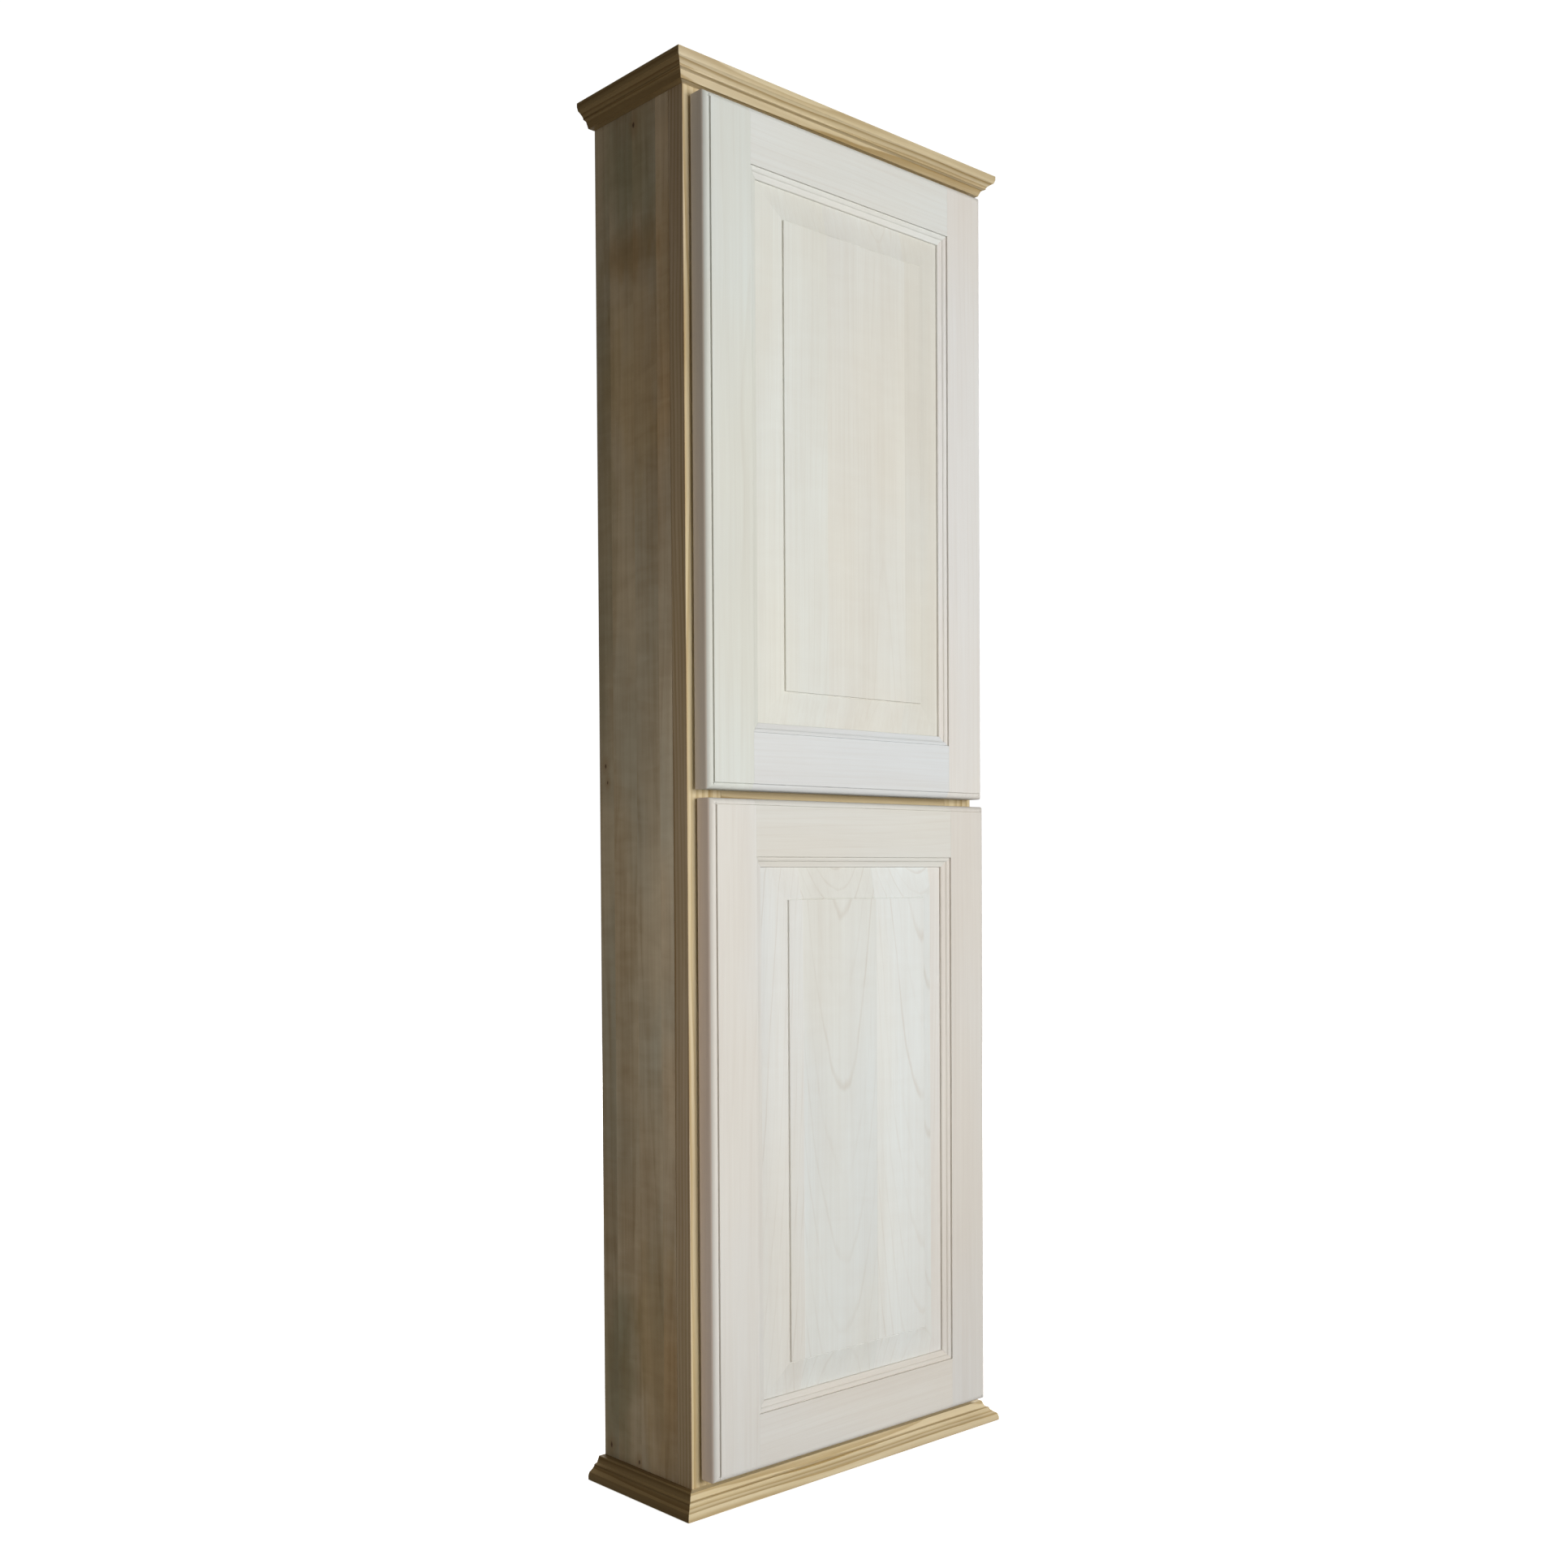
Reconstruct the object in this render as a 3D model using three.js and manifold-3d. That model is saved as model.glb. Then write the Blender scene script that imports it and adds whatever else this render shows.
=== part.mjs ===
// A tall, shallow, on-the-wall cabinet of unfinished wood: a box with a pine face frame, mitred crown
// and base mouldings, fixed and adjustable shelves, and two raised-panel doors hung on the right.
// Millimetres. +Z is up, +X is right as seen from the front, and the front faces -Y.
// The origin is on the wall face, behind the middle of the hanging rail.
import * as THREE from "three";
import { mergeVertices } from "three/addons/utils/BufferGeometryUtils.js";
import Module from "manifold-3d";

const wasm = await Module();
wasm.setup();

// ---------------------------------------------------------------- driving dimensions
// Overall
const HEIGHT = 1257.3; // underside of the base moulding to the top of the crown
const WIDTH = 368.3; // across the two side panels
const DEPTH = 127; // wall to the front of the face frame
const CLEARANCE = 0.3; // between pieces that touch or seat in each other

// Carcase
const SIDE_THICKNESS = 12.7;
const PANEL_THICKNESS = 12.7; // top, bottom and fixed shelf
const BACK_THICKNESS = 6.35;
const HOUSING_DEPTH = 4.5; // how far panels and back are let into the sides
const HANGING_RAIL_HEIGHT = 63.5;
const HANGING_RAIL_THICKNESS = 12.7;

// Face frame
const FRAME_THICKNESS = 19.05;
const FRAME_STILE_WIDTH = 38.1;
const FRAME_RAIL_WIDTH = 44.45; // top and bottom rails
const FRAME_MIDDLE_RAIL_WIDTH = 50.8;

// Crown and base mouldings, one section turned upside down
const MOULDING_HEIGHT = 19.5;
const MOULDING_PROJECTION = 19.8; // from the body to the wide edge
const MOULDING_NOSE = 7; // height of the wide band
const MOULDING_NOSE_LEAN = 1.2; // how far the wide band leans back towards the cove
const MOULDING_COVE_TURN = 11; // height at which the cove ends in a small bead
const MOULDING_BEAD_TURN = 12.8; // height at which the bead ends
const MOULDING_FILLET_TURN = 13.8; // height at which the narrow band starts
const MOULDING_BEAD_PROJECTION = 12.6;
const MOULDING_FILLET_PROJECTION = 9.4;
const MOULDING_NARROW_PROJECTION = 7; // at the narrow edge

// Doors
const DOOR_THICKNESS = 20;
const REVEAL_LEFT = 6.5; // face frame left showing beside a door
const REVEAL_RIGHT = 5.5;
const REVEAL_TOP = 9; // below the crown moulding
const REVEAL_BETWEEN = 7.4;
const REVEAL_BOTTOM = 7.5; // above the base moulding
const LOWER_DOOR_SHIFT = 2.2; // the lower door hangs this far to the right of the upper one
const DOOR_FLAT_WIDTH = 50.9; // flat face of a stile or rail, outer edge to sticking
const STICKING_WIDTH = 9.3;
const STICKING_QUIRK = 1.1; // small step where the sticking starts
const STICKING_LIP = 1.4; // square edge in front of the panel groove
const GROOVE_FRONT = 6.9; // door face to the panel groove
const GROOVE_WIDTH = 6.4;
const PANEL_ROOM = 1.5; // the panel floats by this much in each groove
const PANEL_BEVEL_WIDTH = 29.7;
const PANEL_STEP = 1.6; // square shoulder between bevel and raised field
const PANEL_FIELD_DEPTH = 0.5; // raised field below the door face
const EDGE_WIDTH = 5.2; // moulded outer edge of the door
const EDGE_DEPTH = 7;
const EDGE_QUIRK = 1.2;

// Hinges
const LEAF_THICKNESS = 1.2;
const LEAF_WIDTH = 26; // knuckle axis to the free edge of a leaf
const HINGE_HEIGHT = 60;
const MIDDLE_KNUCKLE = 20;
const KNUCKLE_RADIUS = 2.4;
const HINGE_PIN_RADIUS = 1.25;
const HINGE_PIN_CLEARANCE = 0.1;
const PIN_HEAD_RADIUS = 2.2;
const PIN_HEAD_HEIGHT = 1.4;
const KNUCKLE_TO_DOOR = 1.1; // air between a knuckle and the door edge beside it
const HINGE_INSET = 80; // door end to the middle of a hinge

// Adjustable shelves and their pins
const SHELVES_PER_BAY = 2;
const SHELF_THICKNESS = 12.7;
const HOLE_PITCH = 50.8;
const HOLE_MARGIN = 96; // least height from a fixed panel to the nearest hole
const HOLE_INSET = 22; // shelf edge to the line of holes
const PEG_RADIUS = 2.4;
const PEG_LENGTH = 7.6;
const PEG_CLEARANCE = 0.2;
const TAB_LENGTH = 11;
const TAB_WIDTH = 11;
const TAB_THICKNESS = 2;

// Facets of curved surfaces
const ROUND_SEGMENTS = 24;
const PEG_SEGMENTS = 12;
const CURVE_STEPS = 5;
const OVERRUN = 1; // how far a cutting shape runs past the face it cuts

// ---------------------------------------------------------------- derived dimensions
const HALF_WIDTH = WIDTH / 2;
const INSIDE_HALF_WIDTH = HALF_WIDTH - SIDE_THICKNESS;
const FRAME_BACK_Y = -(DEPTH - FRAME_THICKNESS);
const INSIDE_FRONT_Y = FRAME_BACK_Y + CLEARANCE;
const INSIDE_BACK_Y = -(BACK_THICKNESS + CLEARANCE);
const MIDDLE_Z = MOULDING_HEIGHT + REVEAL_BOTTOM
  + (HEIGHT - 2 * MOULDING_HEIGHT - REVEAL_TOP - REVEAL_BOTTOM) / 2;
const BOTTOM_PANEL_TOP = FRAME_RAIL_WIDTH;
const TOP_PANEL_UNDERSIDE = HEIGHT - PANEL_THICKNESS;
const FIXED_SHELF_TOP = MIDDLE_Z + PANEL_THICKNESS / 2;
const FIXED_SHELF_UNDERSIDE = MIDDLE_Z - PANEL_THICKNESS / 2;
const HANGING_RAIL_TOP = TOP_PANEL_UNDERSIDE - CLEARANCE;
const ORIGIN_HEIGHT = HANGING_RAIL_TOP - HANGING_RAIL_HEIGHT / 2;

const DOOR_GAP = 2 * LEAF_THICKNESS + 3 * CLEARANCE; // face frame to the back of a door
const DOOR_WIDTH = WIDTH - REVEAL_LEFT - REVEAL_RIGHT;
const DOOR_HEIGHT =
  (HEIGHT - 2 * MOULDING_HEIGHT - REVEAL_TOP - REVEAL_BETWEEN - REVEAL_BOTTOM) / 2;
const DOOR_FRONT_Y = -(DEPTH + DOOR_GAP + DOOR_THICKNESS);
const AXIS_BESIDE_DOOR = KNUCKLE_RADIUS + KNUCKLE_TO_DOOR; // door edge to the hinge axis
const HINGE_AXIS_Y = -(DEPTH + CLEARANCE + KNUCKLE_RADIUS);
const LOWER_DOOR_Z = MOULDING_HEIGHT + REVEAL_BOTTOM;
const UPPER_DOOR_Z = LOWER_DOOR_Z + DOOR_HEIGHT + REVEAL_BETWEEN;
const STICKING_EDGE = DOOR_FLAT_WIDTH + STICKING_WIDTH; // full width of a stile or rail
const GROOVE_DEPTH = STICKING_WIDTH;

// ---------------------------------------------------------------- materials
function wood(color, roughness) {
  return new THREE.MeshStandardMaterial({ color, roughness, metalness: 0 });
}

const SIDE_WOOD = wood(0xc2ab80, 0.7);
const PINE = wood(0xd9bf8a, 0.6);
const DOOR_WOOD = wood(0xdad8cb, 0.6);
const SHELF_WOOD = wood(0xd2bd92, 0.65);
const PLYWOOD = wood(0xcdb68c, 0.75);
const STEEL = new THREE.MeshStandardMaterial({ color: 0xb9b6ae, roughness: 0.35, metalness: 0.9 });

// ---------------------------------------------------------------- solids and outlines
// A closed geometry as a manifold solid, for joining and cutting.
function toSolid(geometry) {
  const bare = geometry.clone();
  bare.deleteAttribute("normal");
  bare.deleteAttribute("uv");
  const merged = mergeVertices(bare);
  return new wasm.Manifold(new wasm.Mesh({
    numProp: 3,
    vertProperties: merged.attributes.position.array,
    triVerts: new Uint32Array(merged.index.array),
  }));
}

function toGeometry(solid) {
  const { vertProperties, triVerts } = solid.getMesh();
  const indexed = new THREE.BufferGeometry();
  indexed.setAttribute("position", new THREE.BufferAttribute(vertProperties, 3));
  indexed.setIndex(new THREE.BufferAttribute(triVerts, 1));
  const flat = indexed.toNonIndexed();
  flat.computeVertexNormals();
  return flat;
}

function cut(geometry, cutters) {
  let solid = toSolid(geometry);
  for (const cutter of cutters) solid = solid.subtract(toSolid(cutter));
  return toGeometry(solid);
}

function join(geometries) {
  const [first, ...others] = geometries.map(toSolid);
  return toGeometry(others.reduce((joined, solid) => joined.add(solid), first));
}

function overlapOf(first, second) {
  return toGeometry(toSolid(first).intersect(toSolid(second)));
}

// A box between two limits on each axis; each pair may be given in either order.
function block([xa, xb], [ya, yb], [za, zb]) {
  const size = [xb - xa, yb - ya, zb - za].map(Math.abs);
  return new THREE.BoxGeometry(...size).translate((xa + xb) / 2, (ya + yb) / 2, (za + zb) / 2);
}

function outlineShape(points) {
  return new THREE.Shape(points.map(([a, b]) => new THREE.Vector2(a, b)));
}

// An outline of (x, y) points run up Z.
function prismUp(points, bottom, top) {
  return new THREE.ExtrudeGeometry(outlineShape(points), { depth: top - bottom, bevelEnabled: false })
    .translate(0, 0, bottom);
}

// An outline of (z, y) points run along X.
function prismAcross(points, left, right) {
  const turned = points.map(([z, y]) => [y, z]);
  const toAcross = new THREE.Matrix4().makeBasis(
    new THREE.Vector3(0, 1, 0),
    new THREE.Vector3(0, 0, 1),
    new THREE.Vector3(1, 0, 0),
  );
  return new THREE.ExtrudeGeometry(outlineShape(turned), { depth: right - left, bevelEnabled: false })
    .applyMatrix4(toAcross)
    .translate(left, 0, 0);
}

function cylinderUp(radius, bottom, top, segments) {
  return new THREE.CylinderGeometry(radius, radius, top - bottom, segments)
    .rotateX(Math.PI / 2)
    .translate(0, 0, (bottom + top) / 2);
}

function cylinderAcross(radius, left, right, segments) {
  return new THREE.CylinderGeometry(radius, radius, right - left, segments)
    .rotateZ(Math.PI / 2)
    .translate((left + right) / 2, 0, 0);
}

// Points of a quarter ellipse that leaves `from` along the first axis and arrives along the second.
function quarterRound([xa, ya], [xb, yb]) {
  return Array.from({ length: CURVE_STEPS + 1 }, (_, step) => {
    const angle = (step / CURVE_STEPS) * (Math.PI / 2);
    return [xa + (xb - xa) * Math.sin(angle), ya + (yb - ya) * (1 - Math.cos(angle))];
  });
}

function flipped(points, width) {
  return points.map(([a, b]) => [width - a, b]).reverse();
}

function addMesh(parent, name, geometry, material) {
  const mesh = new THREE.Mesh(geometry, material.clone());
  mesh.name = name;
  parent.add(mesh);
}

// ---------------------------------------------------------------- carcase
// Heights of the shelf-pin holes between two fixed panels, evenly pitched and centred.
function holeHeights(floor, ceiling) {
  const room = ceiling - floor - 2 * HOLE_MARGIN;
  const count = Math.floor(room / HOLE_PITCH) + 1;
  const first = (floor + ceiling - (count - 1) * HOLE_PITCH) / 2;
  return Array.from({ length: count }, (_, row) => first + row * HOLE_PITCH);
}

const BAYS = {
  lower: holeHeights(BOTTOM_PANEL_TOP, FIXED_SHELF_UNDERSIDE),
  upper: holeHeights(FIXED_SHELF_TOP, TOP_PANEL_UNDERSIDE),
};
const HOLE_LINES = {
  front: INSIDE_FRONT_Y + CLEARANCE + HOLE_INSET,
  back: INSIDE_BACK_Y - CLEARANCE - HOLE_INSET,
};
const SIDES = { left: -1, right: 1 };

function housingCutter(side, yRange, [bottom, top]) {
  const inner = side * (INSIDE_HALF_WIDTH - OVERRUN);
  const outer = side * (INSIDE_HALF_WIDTH + HOUSING_DEPTH + CLEARANCE);
  return block([inner, outer], yRange, [bottom, top]);
}

function sidePanel(side) {
  const across = [FRAME_BACK_Y, OVERRUN];
  const panels = [
    [BOTTOM_PANEL_TOP - PANEL_THICKNESS - CLEARANCE, BOTTOM_PANEL_TOP + CLEARANCE],
    [FIXED_SHELF_UNDERSIDE - CLEARANCE, FIXED_SHELF_TOP + CLEARANCE],
    [TOP_PANEL_UNDERSIDE - CLEARANCE, HEIGHT + OVERRUN],
  ];
  const cutters = panels.map((range) => housingCutter(side, across, range));
  cutters.push(housingCutter(side, [INSIDE_BACK_Y, OVERRUN], [-OVERRUN, HEIGHT + OVERRUN]));
  const holeEnds = [INSIDE_HALF_WIDTH - OVERRUN, INSIDE_HALF_WIDTH + PEG_LENGTH + CLEARANCE];
  const [left, right] = side < 0 ? [-holeEnds[1], -holeEnds[0]] : holeEnds;
  for (const z of [...BAYS.lower, ...BAYS.upper]) {
    for (const y of Object.values(HOLE_LINES)) {
      const hole = cylinderAcross(PEG_RADIUS + PEG_CLEARANCE, left, right, PEG_SEGMENTS);
      cutters.push(hole.translate(0, y, z));
    }
  }
  const blank = block([side * INSIDE_HALF_WIDTH, side * HALF_WIDTH], [INSIDE_FRONT_Y, 0], [0, HEIGHT]);
  return cut(blank, cutters);
}

function housedPanel(bottom) {
  const half = INSIDE_HALF_WIDTH + HOUSING_DEPTH;
  return block([-half, half], [INSIDE_FRONT_Y, INSIDE_BACK_Y], [bottom, bottom + PANEL_THICKNESS]);
}

function buildCarcase(parent) {
  for (const [name, side] of Object.entries(SIDES)) {
    addMesh(parent, `side_panel_${name}`, sidePanel(side), SIDE_WOOD);
  }
  addMesh(parent, "top_panel", housedPanel(TOP_PANEL_UNDERSIDE), SHELF_WOOD);
  addMesh(parent, "fixed_shelf", housedPanel(FIXED_SHELF_UNDERSIDE), SHELF_WOOD);
  addMesh(parent, "bottom_panel", housedPanel(BOTTOM_PANEL_TOP - PANEL_THICKNESS), SHELF_WOOD);
  const backHalf = INSIDE_HALF_WIDTH + HOUSING_DEPTH;
  addMesh(parent, "back_panel", block([-backHalf, backHalf], [-BACK_THICKNESS, 0], [0, HEIGHT]), PLYWOOD);
  const railHalf = INSIDE_HALF_WIDTH - CLEARANCE;
  const railBack = INSIDE_BACK_Y;
  const hangingRail = block(
    [-railHalf, railHalf],
    [railBack - HANGING_RAIL_THICKNESS, railBack],
    [HANGING_RAIL_TOP - HANGING_RAIL_HEIGHT, HANGING_RAIL_TOP],
  );
  addMesh(parent, "hanging_rail", hangingRail, PINE);
}

// ---------------------------------------------------------------- face frame
function buildFaceFrame(parent) {
  const frameY = [-DEPTH, FRAME_BACK_Y];
  const inner = HALF_WIDTH - FRAME_STILE_WIDTH;
  for (const [name, side] of Object.entries(SIDES)) {
    const stile = block([side * inner, side * HALF_WIDTH], frameY, [0, HEIGHT]);
    addMesh(parent, `face_frame_stile_${name}`, stile, PINE);
  }
  const rails = {
    top: [HEIGHT - FRAME_RAIL_WIDTH, HEIGHT],
    middle: [MIDDLE_Z - FRAME_MIDDLE_RAIL_WIDTH / 2, MIDDLE_Z + FRAME_MIDDLE_RAIL_WIDTH / 2],
    bottom: [0, FRAME_RAIL_WIDTH],
  };
  const railEnd = inner - CLEARANCE;
  for (const [name, range] of Object.entries(rails)) {
    addMesh(parent, `face_frame_rail_${name}`, block([-railEnd, railEnd], frameY, range), PINE);
  }
}

// ---------------------------------------------------------------- mouldings
// The section as (outward, height) points, the wide edge at height 0.
function mouldingOutline() {
  const wide = MOULDING_PROJECTION - CLEARANCE;
  return [
    [0, 0],
    [wide, 0],
    [wide, MOULDING_NOSE / 2],
    ...quarterRound(
      [wide - MOULDING_NOSE_LEAN, MOULDING_NOSE],
      [MOULDING_BEAD_PROJECTION, MOULDING_COVE_TURN],
    ),
    [MOULDING_BEAD_PROJECTION, MOULDING_BEAD_TURN],
    [MOULDING_FILLET_PROJECTION, MOULDING_FILLET_TURN],
    [MOULDING_NARROW_PROJECTION, MOULDING_HEIGHT],
    [0, MOULDING_HEIGHT],
  ];
}

// A length of moulding whose ends are functions of how far a point stands out, so they can be mitred.
// `place` turns (outward, height, along) into a point of the cabinet.
function mouldingRun(outline, startOf, endOf, place) {
  const geometry = new THREE.ExtrudeGeometry(outlineShape(outline), { depth: 1, bevelEnabled: false });
  const positions = geometry.attributes.position;
  for (let i = 0; i < positions.count; i++) {
    const outward = positions.getX(i);
    const along = positions.getZ(i) < 0.5 ? startOf(outward) : endOf(outward);
    positions.setXYZ(i, ...place(outward, positions.getY(i), along));
  }
  geometry.computeVertexNormals();
  return geometry;
}

function buildMouldings(parent) {
  const face = DEPTH + CLEARANCE;
  const flank = HALF_WIDTH + CLEARANCE;
  const mitre = CLEARANCE / 2;
  const section = mouldingOutline();
  const bands = {
    crown: section.map(([outward, height]) => [outward, HEIGHT - height]),
    base: section,
  };
  for (const [name, outline] of Object.entries(bands)) {
    const front = mouldingRun(
      outline,
      (outward) => -(flank + outward - mitre),
      (outward) => flank + outward - mitre,
      (outward, z, along) => [-along, -(face + outward), z],
    );
    const left = mouldingRun(
      outline,
      (outward) => -(face + outward - mitre),
      () => 0,
      (outward, z, along) => [-(flank + outward), along, z],
    );
    const right = mouldingRun(
      outline,
      () => 0,
      (outward) => face + outward - mitre,
      (outward, z, along) => [flank + outward, -along, z],
    );
    addMesh(parent, `${name}_moulding_front`, front, PINE);
    addMesh(parent, `${name}_moulding_left`, left, PINE);
    addMesh(parent, `${name}_moulding_right`, right, PINE);
  }
}

// ---------------------------------------------------------------- doors
// In a door's own frame x runs from its left edge, y from its front face backwards, z from its bottom.

// The moulded outer edge, across a door of the given size: a thumbnail with a small quirk.
function doorEdgeOutline(size) {
  const edge = quarterRound([EDGE_DEPTH, 0], [EDGE_QUIRK, EDGE_WIDTH]).map(([depth, in_]) => [in_, depth]);
  const left = [[0, DOOR_THICKNESS], ...edge, [EDGE_WIDTH, 0]];
  return [...left, ...flipped(left, size)];
}

// A stile or rail across its width, its outer edge at 0: sticking, lip and panel groove on the inside.
function framePieceOutline() {
  const grooveBack = GROOVE_FRONT + GROOVE_WIDTH;
  return [
    [-OVERRUN, -OVERRUN],
    [DOOR_FLAT_WIDTH, -OVERRUN],
    ...quarterRound([DOOR_FLAT_WIDTH, STICKING_QUIRK], [STICKING_EDGE, GROOVE_FRONT - STICKING_LIP]),
    [STICKING_EDGE, GROOVE_FRONT],
    [STICKING_EDGE - GROOVE_DEPTH, GROOVE_FRONT],
    [STICKING_EDGE - GROOVE_DEPTH, grooveBack],
    [STICKING_EDGE, grooveBack],
    [STICKING_EDGE, DOOR_THICKNESS + OVERRUN],
    [-OVERRUN, DOOR_THICKNESS + OVERRUN],
  ];
}

// The raised panel across a door of the given size: tongue, bevel, shoulder and field.
function panelOutline(size) {
  const tongueFront = GROOVE_FRONT + CLEARANCE;
  const back = GROOVE_FRONT + GROOVE_WIDTH - CLEARANCE;
  const fieldEdge = STICKING_EDGE + PANEL_BEVEL_WIDTH;
  const start = STICKING_EDGE - GROOVE_DEPTH + PANEL_ROOM;
  const left = [
    [start, back],
    [start, tongueFront],
    [STICKING_EDGE, tongueFront],
    [fieldEdge, PANEL_FIELD_DEPTH + PANEL_STEP],
    [fieldEdge, PANEL_FIELD_DEPTH],
  ];
  return [...left, ...flipped(left, size)];
}

// The rail ends are coped over the stiles: shifted copies of each stile are cut away.
function copeCutters(stileLeft, stileRight) {
  return [-CLEARANCE, 0, CLEARANCE].flatMap((depth) => [
    stileLeft.clone().translate(CLEARANCE, depth, 0),
    stileRight.clone().translate(-CLEARANCE, depth, 0),
  ]);
}

function doorPieces() {
  const envelope = overlapOf(
    prismUp(doorEdgeOutline(DOOR_WIDTH), 0, DOOR_HEIGHT),
    prismAcross(doorEdgeOutline(DOOR_HEIGHT), 0, DOOR_WIDTH),
  );
  const outline = framePieceOutline();
  const stileBlanks = {
    left: prismUp(outline, -OVERRUN, DOOR_HEIGHT + OVERRUN),
    right: prismUp(flipped(outline, DOOR_WIDTH), -OVERRUN, DOOR_HEIGHT + OVERRUN),
  };
  const cope = copeCutters(stileBlanks.left, stileBlanks.right);
  const railSpan = [DOOR_FLAT_WIDTH + CLEARANCE, DOOR_WIDTH - DOOR_FLAT_WIDTH - CLEARANCE];
  const railBlanks = {
    bottom: prismAcross(outline, ...railSpan),
    top: prismAcross(flipped(outline, DOOR_HEIGHT), ...railSpan),
  };
  return {
    stile_left: overlapOf(stileBlanks.left, envelope),
    stile_right: overlapOf(stileBlanks.right, envelope),
    rail_bottom: overlapOf(cut(railBlanks.bottom, cope), envelope),
    rail_top: overlapOf(cut(railBlanks.top, cope), envelope),
    panel: overlapOf(
      prismUp(panelOutline(DOOR_WIDTH), 0, DOOR_HEIGHT),
      prismAcross(panelOutline(DOOR_HEIGHT), 0, DOOR_WIDTH),
    ),
  };
}

// ---------------------------------------------------------------- hinges
// In a hinge's own frame its axis is Z, the leaves lie towards -X, and +Y points at the wall.

function knuckle(bottom, top) {
  return cylinderUp(KNUCKLE_RADIUS, bottom, top, ROUND_SEGMENTS);
}

function pinBore() {
  const reach = HINGE_HEIGHT / 2 + OVERRUN;
  return cylinderUp(HINGE_PIN_RADIUS + HINGE_PIN_CLEARANCE, -reach, reach, ROUND_SEGMENTS);
}

function frameLeaf() {
  const half = HINGE_HEIGHT / 2;
  const notchHalf = MIDDLE_KNUCKLE / 2;
  const plate = block([-LEAF_WIDTH, 0], [KNUCKLE_RADIUS - LEAF_THICKNESS, KNUCKLE_RADIUS], [-half, half]);
  const notch = block([-(KNUCKLE_RADIUS + CLEARANCE), OVERRUN], [0, DEPTH], [-notchHalf, notchHalf]);
  const knuckles = [knuckle(-half, -notchHalf), knuckle(notchHalf, half)];
  return cut(join([cut(plate, [notch]), ...knuckles]), [pinBore()]);
}

function doorLeaf() {
  const half = HINGE_HEIGHT / 2;
  const knuckleHalf = MIDDLE_KNUCKLE / 2 - CLEARANCE;
  const back = KNUCKLE_RADIUS - LEAF_THICKNESS - CLEARANCE;
  const plate = block([-LEAF_WIDTH, 0], [back - LEAF_THICKNESS, back], [-half, half]);
  const notches = [[-half - OVERRUN, -knuckleHalf], [knuckleHalf, half + OVERRUN]].map((range) =>
    block([-(KNUCKLE_RADIUS + CLEARANCE), OVERRUN], [-DEPTH, DEPTH], range));
  return cut(join([cut(plate, notches), knuckle(-knuckleHalf, knuckleHalf)]), [pinBore()]);
}

function hingePin() {
  const bottom = -HINGE_HEIGHT / 2;
  const headBottom = HINGE_HEIGHT / 2 + CLEARANCE;
  const profile = [
    [0, bottom],
    [HINGE_PIN_RADIUS, bottom],
    [HINGE_PIN_RADIUS, headBottom],
    [PIN_HEAD_RADIUS, headBottom],
    [PIN_HEAD_RADIUS, headBottom + PIN_HEAD_HEIGHT / 2],
    [PIN_HEAD_RADIUS / 2, headBottom + PIN_HEAD_HEIGHT],
    [0, headBottom + PIN_HEAD_HEIGHT],
  ].map(([radius, height]) => new THREE.Vector2(radius, height));
  return new THREE.LatheGeometry(profile, ROUND_SEGMENTS).rotateX(Math.PI / 2);
}

function buildHinge(parent, name, position) {
  const hinge = new THREE.Group();
  hinge.position.set(...position);
  addMesh(hinge, `${name}_frame_leaf`, frameLeaf(), STEEL);
  addMesh(hinge, `${name}_door_leaf`, doorLeaf(), STEEL);
  addMesh(hinge, `${name}_pin`, hingePin(), STEEL);
  parent.add(hinge);
}

function buildDoor(parent, name, shift, bottom) {
  const door = new THREE.Group();
  door.position.set(-HALF_WIDTH + REVEAL_LEFT + shift, DOOR_FRONT_Y, bottom);
  for (const [piece, geometry] of Object.entries(doorPieces())) {
    addMesh(door, `${name}_${piece}`, geometry, DOOR_WOOD);
  }
  parent.add(door);
  const axisX = HALF_WIDTH - REVEAL_RIGHT + shift + AXIS_BESIDE_DOOR;
  const heights = { bottom: HINGE_INSET, top: DOOR_HEIGHT - HINGE_INSET };
  for (const [place, height] of Object.entries(heights)) {
    buildHinge(parent, `${name}_hinge_${place}`, [axisX, HINGE_AXIS_Y, bottom + height]);
  }
}

// ---------------------------------------------------------------- adjustable shelves
// A shelf pin whose peg points outwards on the given side; its tab carries the shelf.
function shelfPin(side) {
  const pegEnds = [side * PEG_LENGTH, -side * (TAB_LENGTH / 2)];
  const peg = cylinderAcross(PEG_RADIUS, Math.min(...pegEnds), Math.max(...pegEnds), PEG_SEGMENTS);
  const tab = block(
    [-side * CLEARANCE, -side * TAB_LENGTH],
    [-TAB_WIDTH / 2, TAB_WIDTH / 2],
    [PEG_RADIUS - TAB_THICKNESS, PEG_RADIUS],
  );
  return join([peg, tab]);
}

function buildShelf(parent, name, holeZ) {
  const half = INSIDE_HALF_WIDTH - 2 * CLEARANCE;
  const underside = holeZ + PEG_RADIUS + CLEARANCE;
  const depth = [INSIDE_FRONT_Y + CLEARANCE, INSIDE_BACK_Y - CLEARANCE];
  addMesh(parent, name, block([-half, half], depth, [underside, underside + SHELF_THICKNESS]), SHELF_WOOD);
  for (const [line, y] of Object.entries(HOLE_LINES)) {
    for (const [sideName, side] of Object.entries(SIDES)) {
      const pin = shelfPin(side).translate(side * INSIDE_HALF_WIDTH, y, holeZ);
      addMesh(parent, `${name}_pin_${line}_${sideName}`, pin, STEEL);
    }
  }
}

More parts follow.
